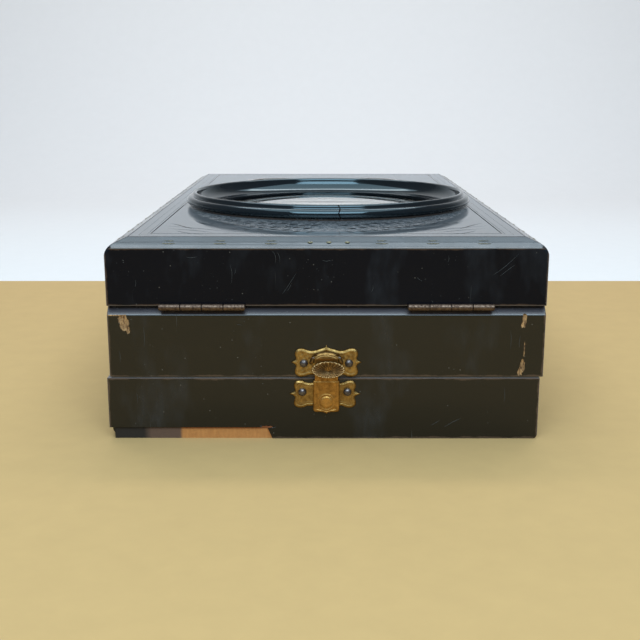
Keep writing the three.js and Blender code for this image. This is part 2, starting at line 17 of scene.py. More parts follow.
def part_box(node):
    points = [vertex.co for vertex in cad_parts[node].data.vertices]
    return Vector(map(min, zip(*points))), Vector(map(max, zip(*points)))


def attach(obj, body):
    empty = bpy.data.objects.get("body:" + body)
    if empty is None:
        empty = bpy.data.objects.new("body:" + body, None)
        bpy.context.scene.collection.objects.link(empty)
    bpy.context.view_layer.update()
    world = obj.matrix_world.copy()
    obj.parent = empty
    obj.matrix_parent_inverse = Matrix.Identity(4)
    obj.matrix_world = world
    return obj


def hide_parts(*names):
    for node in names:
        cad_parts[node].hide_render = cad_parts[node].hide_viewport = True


bl_info = {
    "name": "Box Stereo Viewer",
    "version": (1, 0, 0),
    "blender": (4, 5, 0),
    "location": "3D View > Sidebar > Stereo Viewer",
    "description": "Makes the finished pieces of a folding stereo viewer round its packed frame",
    "category": "Object",
}

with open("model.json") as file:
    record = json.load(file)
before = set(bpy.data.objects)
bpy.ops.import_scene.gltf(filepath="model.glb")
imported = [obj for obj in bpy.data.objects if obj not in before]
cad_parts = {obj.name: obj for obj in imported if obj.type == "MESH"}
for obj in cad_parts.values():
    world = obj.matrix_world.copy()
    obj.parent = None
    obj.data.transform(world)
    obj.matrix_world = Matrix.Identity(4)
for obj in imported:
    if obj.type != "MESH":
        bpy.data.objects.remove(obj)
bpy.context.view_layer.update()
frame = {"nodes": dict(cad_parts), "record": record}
MM = 0.001
SIDES = (("left", -1), ("right", 1))


def joint(name):
    """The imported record's joint of that name."""
    return next(j for j in frame["record"]["behaviour"]["joints"] if j["name"] == name)


LID_AXIS = Vector(joint("lid_hinge")["pos_m"])
PLATFORM_AXIS = Vector(joint("platform_hinge")["pos_m"])
HASP_AXIS = Vector(joint("hasp_hinge")["pos_m"])
STUD_HEIGHT = 22.6 * MM
RING_LOW, RING_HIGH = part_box("lens_ring")
LENS_CENTRE = (RING_LOW + RING_HIGH) / 2
PANEL_LOW, PANEL_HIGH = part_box("lid_panel")


# ---- Settings that a user would change ------------------------------------------------------------


def length(name, description, default):
    """A length property in metres."""
    return bpy.props.FloatProperty(
        name=name, description=description, default=default, min=0.0, unit="LENGTH", precision=5
    )


def tint(name, description, code):
    """A colour property whose default is an sRGB hex value."""
    return bpy.props.FloatVectorProperty(
        name=name, description=description, default=linear(code)[:3], size=3, subtype="COLOR"
    )


def linear(code):
    """An sRGB hex value such as 2b2a26 as linear red, green, blue and alpha."""
    parts = [int(code[i : i + 2], 16) / 255 for i in (0, 2, 4)]
    return [p / 12.92 if p <= 0.04045 else ((p + 0.055) / 1.055) ** 2.4 for p in parts] + [1.0]


class ViewerWoodSettings(bpy.types.PropertyGroup):
    """Sizes and colours of the wooden sections."""

    arris: length("Arris", "Radius of the wood's softened edges", 0.5 * MM)
    slope_run: length("Border width", "Width of the sloped border round the top", 10 * MM)
    slope_rise: length("Border height", "Height of the sloped border round the top", 4.4 * MM)
    line_inset: length("Line inset", "Distance of the incised line from the slope", 10.8 * MM)
    black: tint("Black", "Stain and shellac of the ebonised wood", "0d0c0b")
    worn: tint("Worn", "Wood that shows through at rubbed edges", "4a3a30")
    bare: tint("Bare", "Wood where the veneer has broken away", "dc9d5a")


class ViewerBrassSettings(bpy.types.PropertyGroup):
    """Sizes and colours of the brass fittings."""

    sheet_step: length("Relief step", "Spacing of the points that carry the pressed relief", 0.33 * MM)
    shell_width: length("Shell width", "Width of the hasp's shell grip", 16.8 * MM)
    shell_height: length("Shell height", "Height of the hasp's shell grip", 8.3 * MM)
    gilt: tint("Brass", "Clean brass on the raised parts of the plates", "cdab6c")
    tarnish: tint("Tarnish", "Brown tarnish in the hollows", "76562a")


class ViewerStageSettings(bpy.types.PropertyGroup):
    """The stage: floor, backdrop, camera and lights."""

    floor: tint("Floor", "Colour of the floor", "c2a26d")
    wall: tint("Wall", "Colour of the backdrop", "e4e3e4")
    camera_distance: length("Camera distance", "From the front face to the camera", 494 * MM)
    camera_height: length("Camera height", "From the floor to the camera", 179.4 * MM)


# ---- Mesh helpers ---------------------------------------------------------------------------------


def new_piece(name, bm, materials, smooth_below=None):
    """A named object at the origin from a bmesh, with its materials, smooth where edges are shallow."""
    mesh = bpy.data.meshes.new(name)
    bm.to_mesh(mesh)
    bm.free()
    piece = bpy.data.objects.new(name, mesh)
    bpy.context.scene.collection.objects.link(piece)
    for material in materials:
        mesh.materials.append(material)
    if smooth_below is not None:
        mesh.shade_smooth()
        mesh.set_sharp_from_angle(angle=math.radians(smooth_below))
    return piece


def settle(piece):
    """Turns a piece's modifiers into plain mesh."""
    graph = bpy.context.evaluated_depsgraph_get()
    graph.update()
    shaped = bpy.data.meshes.new_from_object(piece.evaluated_get(graph))
    shaped.name = piece.name
    piece.modifiers.clear()
    piece.data = shaped


def carve(piece, *cutters):
    """Takes closed shapes out of a piece and removes them."""
    for cutter in cutters:
        modifier = piece.modifiers.new("carve", "BOOLEAN")
        modifier.operation = "DIFFERENCE"
        modifier.solver = "MANIFOLD"
        modifier.object = cutter
    settle(piece)
    for cutter in cutters:
        bpy.data.objects.remove(cutter)


def block(bm, low, high):
    """Adds a box between two corners and returns its vertices."""
    low, high = Vector(low), Vector(high)
    size = high - low
    place = Matrix.Translation((low + high) / 2) @ Matrix.Diagonal((*size, 1))
    return bmesh.ops.create_cube(bm, size=1, matrix=place)["verts"]


def ease(bm, width, segments=3, edges=None):
    """Rounds edges, all of them where none are given."""
    bmesh.ops.bevel(
        bm,
        geom=list(edges or bm.edges),
        offset=width,
        offset_type="OFFSET",
        segments=segments,
        profile=0.5,
        affect="EDGES",
        clamp_overlap=True,
    )


def block_piece(name, low, high, materials=(), width=None):
    """A box as a piece of its own, eased where a width is given. Cutters are made this way too."""
    bm = bmesh.new()
    block(bm, low, high)
    if width:
        ease(bm, width)
    return new_piece(name, bm, materials)


def turn(bm, profile, centre, sides, axis="Z", material=0):
    """Adds a solid of revolution. Its profile of (radius, height) runs counter-clockwise and closes
    on itself, or starts and ends on the axis."""
    spin = {
        "Z": Matrix.Identity(3),
        "X": Matrix(((0, 0, 1), (1, 0, 0), (0, 1, 0))),
        "-Y": Matrix(((1, 0, 0), (0, 0, -1), (0, 1, 0))),
    }[axis]
    rows = []
    for radius, height in profile:
        if radius < 1e-9:
            rows.append([bm.verts.new(Vector(centre) + spin @ Vector((0, 0, height)))])
            continue
        ring = []
        for i in range(sides):
            a = 2 * math.pi * i / sides
            local = Vector((radius * math.cos(a), radius * math.sin(a), height))
            ring.append(bm.verts.new(Vector(centre) + spin @ local))
        rows.append(ring)
    pairs = list(zip(rows, rows[1:]))
    if len(rows[0]) > 1:
        pairs.append((rows[-1], rows[0]))
    for lower, upper in pairs:
        for i in range(sides):
            j = (i + 1) % sides
            if len(lower) == 1:
                corners = [lower[0], upper[j], upper[i]]
            elif len(upper) == 1:
                corners = [lower[i], lower[j], upper[0]]
            else:
                corners = [lower[i], lower[j], upper[j], upper[i]]
            bm.faces.new(corners).material_index = material


def arc(centre, radius, start, end, steps):
    """Points on an arc, angles in degrees."""
    angles = [math.radians(start + (end - start) * i / steps) for i in range(steps + 1)]
    return [(centre[0] + radius * math.cos(a), centre[1] + radius * math.sin(a)) for a in angles]


def bezier(p0, p1, p2, p3, steps):
    """Points on a cubic curve, without its first point."""
    points = []
    for i in range(1, steps + 1):
        t = i / steps
        u = 1 - t
        weights = (u**3, 3 * u * u * t, 3 * u * t * t, t**3)
        points.append(tuple(sum(w * p[k] for w, p in zip(weights, (p0, p1, p2, p3))) for k in (0, 1)))
    return points


def skin(bm, rows):
    """Joins rows of as many points each into a tube and returns its faces."""
    faces = []
    for a, b in zip(rows, rows[1:]):
        for i in range(len(a)):
            j = (i + 1) % len(a)
            faces.append(bm.faces.new((a[i], a[j], b[j], b[i])))
    return faces


def capped(bm, rows):
    """Joins rows of points into a closed solid whose faces point outwards."""
    skin(bm, rows)
    bm.faces.new(rows[0])
    bm.faces.new(rows[-1][::-1])
    bmesh.ops.recalc_face_normals(bm, faces=bm.faces)


def frame_loop(half_x, half_y, section):
    """A closed section of (inset, height) swept round a rectangle with mitred corners."""
    bm = bmesh.new()
    corners = []
    for sx, sy in ((-1, -1), (1, -1), (1, 1), (-1, 1)):
        corners.append([bm.verts.new((sx * (half_x - d), sy * (half_y - d), z)) for d, z in section])
    skin(bm, corners + corners[:1])
    bmesh.ops.recalc_face_normals(bm, faces=bm.faces)
    return new_piece("line", bm, [])


def softened_copy(node, width, material):
    """A finished copy of a CAD node, merged and with its edges eased."""
    bm = bmesh.new()
    bm.from_mesh(frame["nodes"][node].data)
    bmesh.ops.remove_doubles(bm, verts=bm.verts, dist=0.002 * MM)
    bmesh.ops.dissolve_limit(bm, angle_limit=math.radians(1), verts=bm.verts, edges=bm.edges)
    piece = new_piece(f"{node}_finished", bm, [material])
    modifier = piece.modifiers.new("ease", "BEVEL")
    modifier.width = width
    modifier.segments = 2
    modifier.limit_method = "ANGLE"
    modifier.angle_limit = math.radians(35)
    settle(piece)
    return piece


def paint(piece, index, chosen):
    """Gives the faces that a test picks another of the piece's materials."""
    for face in piece.data.polygons:
        if chosen(face):
            face.material_index = index


def finish_piece(piece, body, nodes=()):
    """Rides a piece on its body and hides the nodes that it stands for."""
    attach(piece, body)
    if nodes:
        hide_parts(*nodes)


# ---- Materials ------------------------------------------------------------------------------------

MATH, RANGE, MIX = "ShaderNodeMath", "ShaderNodeMapRange", "ShaderNodeMix"
SPLIT, VORONOI, BUMP = "ShaderNodeSeparateXYZ", "ShaderNodeTexVoronoi", "ShaderNodeBump"
TIMES, TIMES_PLUS = {"operation": "MULTIPLY"}, {"operation": "MULTIPLY_ADD"}
MINUS = {"operation": "SUBTRACT"}
LARGER, SMALLER = {"operation": "MAXIMUM"}, {"operation": "MINIMUM"}
COLOUR = {"out": 2, "data_type": "RGBA"}


def add_node(tree, kind, inputs=(), out=0, **settings):
    """Adds a node with its settings, links or sets its inputs, and gives one of its outputs."""
    node = tree.nodes.new(kind)
    for name, value in settings.items():
        setattr(node, name, value)
    for key, value in inputs.items() if isinstance(inputs, dict) else enumerate(inputs):
        if isinstance(value, bpy.types.NodeSocket):
            tree.links.new(value, node.inputs[key])
        else:
            node.inputs[key].default_value = value
    return node.outputs[out] if node.outputs else node


def open_material(name):
    """A material with an empty node tree."""
    material = bpy.data.materials.new(name)
    material.use_nodes = True
    material.node_tree.nodes.clear()
    return material, material.node_tree


def shade(tree, sockets):
    """Ends a tree in a Principled shader. A value that is the same all over goes on its socket."""
    shader = add_node(tree, "ShaderNodeBsdfPrincipled", sockets)
    add_node(tree, "ShaderNodeOutputMaterial", [shader])


def object_axes(tree):
    """The place of a point in the object, whole and as its X, Y and Z."""
    place = add_node(tree, "ShaderNodeTexCoord", out="Object")
    return place, add_node(tree, SPLIT, [place]).node.outputs


def mottle(tree, scale, detail=4.0, roughness=0.55, stretch=(1, 1, 1), turned=0.0):
    """Cloudy patches. Scale counts them per metre, so that 500 makes them 2 mm across; a stretch
    under 1 draws them out along that axis."""
    place = add_node(tree, "ShaderNodeTexCoord", out="Object")
    sockets = {"Vector": place, "Rotation": [turned] * 3, "Scale": stretch}
    place = add_node(tree, "ShaderNodeMapping", sockets)
    sockets = {"Vector": place, "Scale": scale, "Detail": detail, "Roughness": roughness}
    return add_node(tree, "ShaderNodeTexNoise", sockets)


def dust(tree, base, scale, size, share, strength, code):
    """A colour with specks of dust on it: round dots in a share of the cells of a random pattern."""
    place = add_node(tree, "ShaderNodeTexCoord", out="Object")
    cells = add_node(tree, VORONOI, {"Vector": place, "Scale": scale})
    dot = add_node(tree, RANGE, (cells, size, size + 0.04, 1, 0))
    pick = add_node(tree, "ShaderNodeSeparateColor", [cells.node.outputs["Color"]])
    pick = add_node(tree, MATH, (pick, share), operation="GREATER_THAN")
    dot = add_node(tree, MATH, (dot, pick), **TIMES)
    dot = add_node(tree, MATH, (dot, strength), **TIMES)
    return add_node(tree, MIX, {0: dot, 6: base, 7: linear(code)}, **COLOUR)


def edge_distance(tree, low, high):
    """How far a point on a box's surface is from the nearest edge of that box: of the distances to
    the box's three pairs of faces it is the middle one."""
    _, axes = object_axes(tree)
    gaps = []
    for k in range(3):
        offset = add_node(tree, MATH, (axes[k], (low[k] + high[k]) / 2), **MINUS)
        offset = add_node(tree, MATH, [offset], operation="ABSOLUTE")
        gaps.append(add_node(tree, MATH, ((high[k] - low[k]) / 2, offset), **MINUS))
    near, far = (add_node(tree, MATH, gaps[:2], **pick) for pick in (SMALLER, LARGER))
    return add_node(tree, MATH, (near, add_node(tree, MATH, (far, gaps[2]), **SMALLER)), **LARGER)


def lens_distance(tree):
    """A point's X and Y from the middle of the large lens, and its distance from there."""
    _, axes = object_axes(tree)
    x = add_node(tree, MATH, (axes[0], LENS_CENTRE.x), **MINUS)
    y = add_node(tree, MATH, (axes[1], LENS_CENTRE.y), **MINUS)
    away = add_node(tree, "ShaderNodeCombineXYZ", (x, y))
    return x, y, add_node(tree, "ShaderNodeVectorMath", [away], "Value", operation="LENGTH")


def ebonised_wood(
    name, box, rub=1.0, black=None, level=0.5, haze_low=0.1, ior=1.5, hue="ffffff", stippled=False
):
    """Pear or beech, stained black and varnished with shellac: a deep gloss that has gone hazy in
    patches, with brown wood at rubbed arrises, a painted highlight along the very arris, fine scratches
    and specks of dust."""
    wood = bpy.context.scene.viewer_wood
    material, tree = open_material(name)
    black = linear(black) if black else (*wood.black, 1)
    paler = [1.7 * c for c in black[:3]] + [1]
    base = add_node(tree, MIX, {0: mottle(tree, 14, 3), 6: black, 7: paler}, **COLOUR)

    edge = edge_distance(tree, *box)
    reach = (mottle(tree, 90, 6, 0.7), 3.6 * MM * rub, -1.45 * MM * rub)
    reach = add_node(tree, MATH, reach, **TIMES_PLUS)
    rubbed = add_node(tree, MATH, (edge, reach), **MINUS)
    rubbed = add_node(tree, RANGE, (rubbed, 0.25 * MM, 0.8 * MM, 1, 0))
    base = add_node(tree, MIX, {0: rubbed, 6: base, 7: (*wood.worn, 1)}, **COLOUR)
    # Painted highlight: the very arris is painted pale grey, standing in for the light that the edge
    # catches.
    arris = add_node(tree, RANGE, (edge, 0.15 * MM, 0.38 * MM, 0.55, 0))
    base = add_node(tree, MIX, {0: arris, 6: base, 7: linear("8b8d90")}, **COLOUR)

    # Scratches in two directions: long thin cells of noise, cut to their crests.
    marks = []
    for turned, stretch in ((0.5, (2.2, 0.06, 2.2)), (-0.35, (2.0, 1.0, 0.05))):
        streaks = mottle(tree, 420, 2, 0.4, stretch, turned)
        marks.append(add_node(tree, RANGE, (streaks, 0.73, 0.77)))
    gate = add_node(tree, RANGE, (mottle(tree, 22, 2), 0.5, 0.62))
    scratch = add_node(tree, MATH, (add_node(tree, MATH, marks, **LARGER), gate), **TIMES)
    faint = add_node(tree, MATH, (scratch, 0.5), **TIMES)
    base = add_node(tree, MIX, {0: faint, 6: base, 7: linear("6f7070")}, **COLOUR)
    # The specks are 0.2 mm across, drawn a little larger than they are so that they show.
    base = dust(tree, base, 330, 0.06, 0.8, 0.5, "85817a")
    # Bloom: shellac that has gone faintly blue in soft patches taller than they are wide.
    bloom = add_node(tree, RANGE, (mottle(tree, 24, 4, 0.6, (1.6, 1.6, 0.7)), 0.52, 0.78))
    fine = add_node(tree, RANGE, (mottle(tree, 300, 3, stretch=(1, 1, 0.4)), 0.3, 0.7, 0.4, 1))
    bloom = add_node(tree, MATH, (bloom, fine), **TIMES)
    bloom = add_node(tree, MATH, (bloom, 0.3), **TIMES)
    base = add_node(tree, MIX, {0: bloom, 6: base, 7: linear("4b525c")}, **COLOUR)

    haze = add_node(tree, RANGE, (mottle(tree, 30, 5, 0.6), 0.35, 0.75, haze_low, haze_low + 0.14))
    rough = add_node(tree, MATH, (scratch, 0.3, haze), **TIMES_PLUS)
    grain = mottle(tree, 260, 3, stretch=(0.08, 0.08, 1))
    relief = add_node(tree, MATH, (grain, 0.35, mottle(tree, 45, 2)), **TIMES_PLUS)
    bump = add_node(tree, BUMP, {"Height": relief, "Strength": 0.12, "Distance": 0.1 * MM})
    sockets = {"IOR": ior, "Specular IOR Level": level, "Specular Tint": linear(hue)}
    if stippled:
        base, rough, bump = stippled_crescent(tree, base, rough, bump)
        # A film of dust, which shows only along the surface and leaves the top black from above.
        sockets.update({"Sheen Weight": 0.5, "Sheen Roughness": 0.35, "Sheen Tint": linear("d4e2ee")})
    shade(tree, {"Base Color": base, "Roughness": rough, "Normal": bump, **sockets})
    return material


def stippled_crescent(tree, base, rough, bump):
    """Between the engraved leaves the top is stippled with a punch, so a crescent in front of the ring
    scatters the light instead of mirroring it; its flecks are also painted bluish grey, a painted share
    of the sky light they scatter."""
    x, y, radius = lens_distance(tree)
    # The crescent is widest in the middle of the front and runs out to points at its sides.
    ragged = add_node(tree, MATH, (mottle(tree, 160, 4, 0.65), 14 * MM), **TIMES)
    limit = add_node(tree, MATH, (x, x), **TIMES)
    limit = add_node(tree, MATH, (limit, -5.5, 126 * MM), **TIMES_PLUS)
    limit = add_node(tree, MATH, (limit, ragged), operation="ADD")
    inside = add_node(tree, RANGE, (add_node(tree, MATH, (limit, radius), **MINUS), 0, 2 * MM))
    front = add_node(tree, MATH, (y, -20 * MM), operation="LESS_THAN")
    inside = add_node(tree, MATH, (inside, front), **TIMES)
    flecks = add_node(tree, RANGE, (mottle(tree, 420, 4, 0.7), 0.44, 0.57))
    worn = add_node(tree, MATH, (inside, flecks), **TIMES)
    rough = add_node(tree, MATH, (worn, 0.32, rough), **TIMES_PLUS)
    # Painted light: the flecks' bluish grey stands in for the sky light that the stippled ground
    # scatters.
    painted_sky_share = add_node(tree, MATH, (worn, 0.5), **TIMES)
    base = add_node(tree, MIX, {0: painted_sky_share, 6: base, 7: linear("3c4a53")}, **COLOUR)
    # The punch marks are 1.4 mm apart.
    place, _ = object_axes(tree)
    height = add_node(tree, VORONOI, {"Vector": place, "Scale": 700})
    height = add_node(tree, MATH, (height, inside), **TIMES)
    punched = {"Height": height, "Strength": 0.5, "Distance": 0.25 * MM, "Normal": bump}
    return base, rough, add_node(tree, BUMP, punched)


def bare_wood():
    """Raw deal where veneer has broken away: orange brown, dry, with ribs of grain 2 mm apart."""
    wood = bpy.context.scene.viewer_wood
    material, tree = open_material("bare_deal")
    fibre = mottle(tree, 700, 6, 0.7, (0.6, 1, 0.3))
    base = add_node(tree, MIX, {0: fibre, 6: (*wood.bare, 1), 7: linear("935a2b")}, **COLOUR)
    place, axes = object_axes(tree)
    waves = {"Vector": place, "Scale": 150, "Distortion": 2.5, "Detail": 2}
    ribs = add_node(tree, "ShaderNodeTexWave", waves, "Fac", bands_direction="X")
    # The ribs, a dark red band along the break's upper edge that is painted shadow under the
    # overhanging veneer, grime at the left and soot at the far left.
    layers = (
        (ribs, 0.5, "b87a42"),
        # Painted shadow: dark red along the top of the strip, where the veneer's edge overhangs it.
        (add_node(tree, RANGE, (axes[2], 4.6 * MM, 6 * MM)), 0.7, "6e2a16"),
        (add_node(tree, RANGE, (axes[0], -77 * MM, -75.5 * MM, 1, 0)), 0.85, "3f3a3b"),
        (add_node(tree, RANGE, (axes[0], -96 * MM, -92 * MM, 1, 0)), 0.92, "121110"),
    )
    for where, strength, code in layers:
        share = add_node(tree, MATH, (where, strength), **TIMES)
        base = add_node(tree, MIX, {0: share, 6: base, 7: linear(code)}, **COLOUR)
    bump = add_node(tree, BUMP, {"Height": fibre, "Strength": 0.5, "Distance": 0.3 * MM})
    shade(tree, {"Base Color": base, "Roughness": 0.75, "Normal": bump})
    return material


def two_tone(name, pattern, tones, rough, bump=None, metallic=0.0):
    """A finish of two tones that follow one mottled pattern. The pattern is (scale, detail,
    roughness, stretch), tones is (low, high, first, second), and bump is (strength, depth in mm)."""
    material, tree = open_material(name)
    scale, detail, roughness, stretch = pattern
    cloud = mottle(tree, scale, detail, roughness, stretch)
    low, high, first, second = tones
    share = cloud if low is None else add_node(tree, RANGE, (cloud, low, high))
    base = add_node(tree, MIX, {0: share, 6: linear(first), 7: linear(second)}, **COLOUR)
    if isinstance(rough, tuple):
        rough = add_node(tree, RANGE, (cloud, 0.3, 0.7, *rough))
    sockets = {"Base Color": base, "Roughness": rough, "Metallic": metallic}
    if bump:
        relief = {"Height": cloud, "Strength": bump[0], "Distance": bump[1] * MM}
        sockets["Normal"] = add_node(tree, BUMP, relief)
    shade(tree, sockets)
    return material


def aged_metal(name, light, dark, rough, scale=500, metallic=0.9):
    """Plain drawn or rolled metal with a patchy skin of oxide, in patches 1 to 2 mm across."""
    pattern = (scale, 5, 0.65, (1, 1, 1))
    return two_tone(name, pattern, (0.35, 0.65, dark, light), rough, (0.2, 0.05), metallic)


def turned_lacquer():
    """Turned wood under a thick black lacquer: mirror gloss, brown where its foot meets the top."""
    wood = bpy.context.scene.viewer_wood
    material, tree = open_material("turned_lacquer")
    _, axes = object_axes(tree)
    _, _, radius = lens_distance(tree)
    outside = add_node(tree, RANGE, (radius, 88.5 * MM, 89 * MM))
    lift = add_node(tree, MATH, (mottle(tree, 120, 5, 0.7), MM, PANEL_HIGH.z + 0.5 * MM), **TIMES_PLUS)
    foot = add_node(tree, MATH, (axes[2], lift), **MINUS)
    foot = add_node(tree, RANGE, (foot, 0, 0.35 * MM, 1, 0))
    foot = add_node(tree, MATH, (add_node(tree, MATH, (foot, outside), **TIMES), 0.8), **TIMES)
    # Partly painted reflection: the black lacquer is given a faint blue, a share of the blue sky's
    # reflection painted into it.
    base = {0: mottle(tree, 30), 6: linear("080a0e"), 7: linear("10151b")}
    base = add_node(tree, MIX, base, **COLOUR)
    base = add_node(tree, MIX, {0: foot, 6: base, 7: (*wood.worn, 1)}, **COLOUR)
    base = dust(tree, base, 500, 0.05, 0.93, 0.5, "7d7c78")
    rough = add_node(tree, RANGE, (mottle(tree, 60), 0.35, 0.7, 0.07, 0.16))
    bump = {"Height": mottle(tree, 55, 2), "Strength": 0.1, "Distance": 0.1 * MM}
    bump = add_node(tree, BUMP, bump)
    sockets = {"IOR": 1.8, "Specular Tint": linear("c8e6f2")}
    shade(tree, {"Base Color": base, "Roughness": rough, "Normal": bump, **sockets})
    return material


def pressed_brass(name, deep, proud, clean=None, tarnish=None):
    """Sheet brass pressed in a die and aged: bright on the raised lines, brown between them. The
    hollows are the surface nearest to the wood, from deep to proud along -Y."""
    brass = bpy.context.scene.viewer_brass
    material, tree = open_material(name)
    place, axes = object_axes(tree)
    raised = add_node(tree, RANGE, (axes[1], deep, proud))
    blotch = mottle(tree, 380, 5, 0.65)
    patchy = add_node(tree, RANGE, (blotch, 0.3, 0.7, -0.25, 0.45))
    shine = add_node(tree, MATH, (raised, 0.75, patchy), **TIMES_PLUS)
    clean = linear(clean) if clean else (*brass.gilt, 1)
    tarnish = linear(tarnish) if tarnish else (*brass.tarnish, 1)
    base = add_node(tree, MIX, {0: shine, 6: tarnish, 7: clean}, **COLOUR)
    grime = add_node(tree, RANGE, (mottle(tree, 1500, 3), 0.6, 0.72))
    grime = add_node(tree, MATH, (grime, 0.4), **TIMES)
    base = add_node(tree, MIX, {0: grime, 6: base, 7: linear("4a3218")}, **COLOUR)
    rough = add_node(tree, RANGE, (blotch, 0.3, 0.7, 0.5, 0.3))
    # The die's stippled ground: dimples about 0.4 mm apart.
    stipple = add_node(tree, VORONOI, {"Vector": place, "Scale": 2600})
    bump = add_node(tree, BUMP, {"Height": stipple, "Strength": 0.35, "Distance": 0.08 * MM})
    shade(tree, {"Base Color": base, "Roughness": rough, "Normal": bump, "Metallic": 1.0})
    return material


def shellacked_wood():
    """Mahogany under one thin coat of shellac: long brown grain and a low sheen."""
    material, tree = open_material("shellacked_wood")
    grain = mottle(tree, 180, 5, 0.6, (1, 0.07, 1))
    share = add_node(tree, RANGE, (grain, 0.3, 0.7))
    base = add_node(tree, MIX, {0: share, 6: linear("4a2a18"), 7: linear("7d4c2c")}, **COLOUR)
    pores = add_node(tree, RANGE, (mottle(tree, 1400, 3, stretch=(1, 0.04, 1)), 0.62, 0.7))
    pores = add_node(tree, MATH, (pores, 0.5), **TIMES)
    base = add_node(tree, MIX, {0: pores, 6: base, 7: linear("2a170d")}, **COLOUR)
    rough = add_node(tree, RANGE, (grain, 0.3, 0.7, 0.5, 0.36))
    bump = add_node(tree, BUMP, {"Height": grain, "Strength": 0.25, "Distance": 0.15 * MM})
    shade(tree, {"Base Color": base, "Roughness": rough, "Normal": bump})
    return material


def lens_glass():
    """Crown glass, ground and polished: clear with a faint green cast."""
    material, tree = open_material("lens_glass")
    rough = add_node(tree, RANGE, (mottle(tree, 40, 5, 0.6), 0.5, 0.75, 0.0, 0.05))
    clear = {"Base Color": linear("f2f8f5"), "Transmission Weight": 1.0, "IOR": 1.52}
    shade(tree, {"Roughness": rough, **clear})
    return material


def stage_material(name, colour, uneven):
    """A plain matt surface with a faint mottle."""
    material, tree = open_material(name)
    paler = [min(1.0, c * (1 + uneven)) for c in colour] + [1]
    darker = [c * (1 - uneven) for c in colour] + [1]
    base = add_node(tree, MIX, {0: mottle(tree, 60, 6, 0.6), 6: darker, 7: paler}, **COLOUR)
    shade(tree, {"Base Color": base, "Roughness": 0.9})
    return material


MATERIALS = {}


def make_materials():
    """Makes every finish once."""
    lid = (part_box("lid_front")[0], PANEL_HIGH - Vector((0, 0, 4.4 * MM)))
    platform = (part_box("platform_front")[0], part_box("platform_back")[1])
    card_box = (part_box("box_front")[0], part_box("box_back")[1])
    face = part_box("platform_front")[0].y
    even = (1, 1, 1)
    MATERIALS.update(
        platform=ebonised_wood("ebonised_platform", platform),
        box=ebonised_wood("ebonised_box", card_box),
        # The lid's walls have lost some of their gloss, and its top is the best polished.
        lid=ebonised_wood("ebonised_lid", lid, 0.7, "0a0b11", 0.1),
        border=ebonised_wood("ebonised_border", lid, 0.4, "0c0e12", 0.55, 0.1, 1.5, "a6d2ea"),
        top=ebonised_wood("ebonised_top", lid, 0.6, "0c0d0f", 0.5, 0.0, 2.4, stippled=True),
        # The narrow bevel under the lid's hinges is painted grey: a painted reflection of the bright
        # sky above it.
        bevel=ebonised_wood("bevel_painted_reflection", platform, 0.8, "3b393f", 1.0, 0.2),
        bare=bare_wood(),
        # Torn wood fibre in a chip: tan, matt, splintery, in threads 1 mm thick.
        fibre=two_tone(
            "torn_fibre",
            (1100, 6, 0.75, (1, 1, 0.22)),
            (0.38, 0.62, "4a2c17", "c39c6c"),
            0.85,
            (0.9, 0.4),
        ),
        ring=turned_lacquer(),
        brass=pressed_brass("pressed_brass", face - 0.6 * MM, face - 1.5 * MM),
        hasp_brass=pressed_brass("hasp_brass", face - 2.6 * MM, face - 3.7 * MM, "cd9c58", "7a5526"),
        cover_brass=pressed_brass("cover_brass", face - 2 * MM, face - 4.6 * MM, "a98450", "5e4324"),
        shell_brass=pressed_brass("shell_brass", face - 6.5 * MM, face - 8.5 * MM, "b9986a", "44301c"),
        plain_brass=aged_metal("drawn_brass", "b48a4a", "7a5a2e", (0.5, 0.3)),
        hinge=aged_metal("hinge_patina", "7a675a", "42332b", (0.6, 0.35), 900),
        steel=aged_metal("dulled_steel", "7f7878", "453c3c", (0.5, 0.25), 1200),
        # The faces of the ring's crack: reddish wood, dry.
        crack=aged_metal("cracked_wood", "7a3f28", "3c1c12", (0.9, 0.7), metallic=0.0),
        inner=shellacked_wood(),
        glass=lens_glass(),
        # Gold paint rubbed into the border's small motifs, mostly worn away.
        gilt=two_tone(
            "faded_gilt", (900, 4, 0.55, even), (0.42, 0.6, "8f8766", "4d4f42"), 0.35, metallic=0.3
        ),
        # The floor of a scratch: crushed lacquer, grey and matt.
        scratch=two_tone(
            "scuffed_lacquer", (800, 3, 0.55, even), (None, None, "26292b", "5c6062"), 0.6
        ),
    )


# ---- Node trees -----------------------------------------------------------------------------------


def open_tree(name, *sizes):
    """A Geometry Nodes tree with a named input for each size, and those inputs."""
    tree = bpy.data.node_groups.new(name, "GeometryNodeTree")
    sockets = tree.interface
    sockets.new_socket("Geometry", in_out="OUTPUT", socket_type="NodeSocketGeometry")
    sockets.new_socket("Geometry", in_out="INPUT", socket_type="NodeSocketGeometry")
    for label in sizes:
        kind = "NodeSocketInt" if label == "Seed" else "NodeSocketFloat"
        sockets.new_socket(label, in_out="INPUT", socket_type=kind)
    return tree, add_node(tree, "NodeGroupInput").node.outputs


def close_tree(tree, finish, sockets):
    """Ends a tree: a shape on each of its points, made real and given its finish."""
    placed = add_node(tree, "GeometryNodeInstanceOnPoints", sockets)
    real = add_node(tree, "GeometryNodeRealizeInstances", [placed])
    sockets = {"Geometry": real, "Material": MATERIALS[finish]}
    add_node(tree, "NodeGroupOutput", [add_node(tree, "GeometryNodeSetMaterial", sockets)])
    return tree


def run_nodes(piece, tree, values):
    """Puts a node tree on a piece with its inputs set, and keeps the result as plain mesh."""
    modifier = piece.modifiers.new(tree.name, "NODES")
    modifier.node_group = tree
    for item in tree.interface.items_tree:
        if item.in_out == "INPUT" and item.name in values:
            modifier[item.identifier] = values[item.name]
    settle(piece)


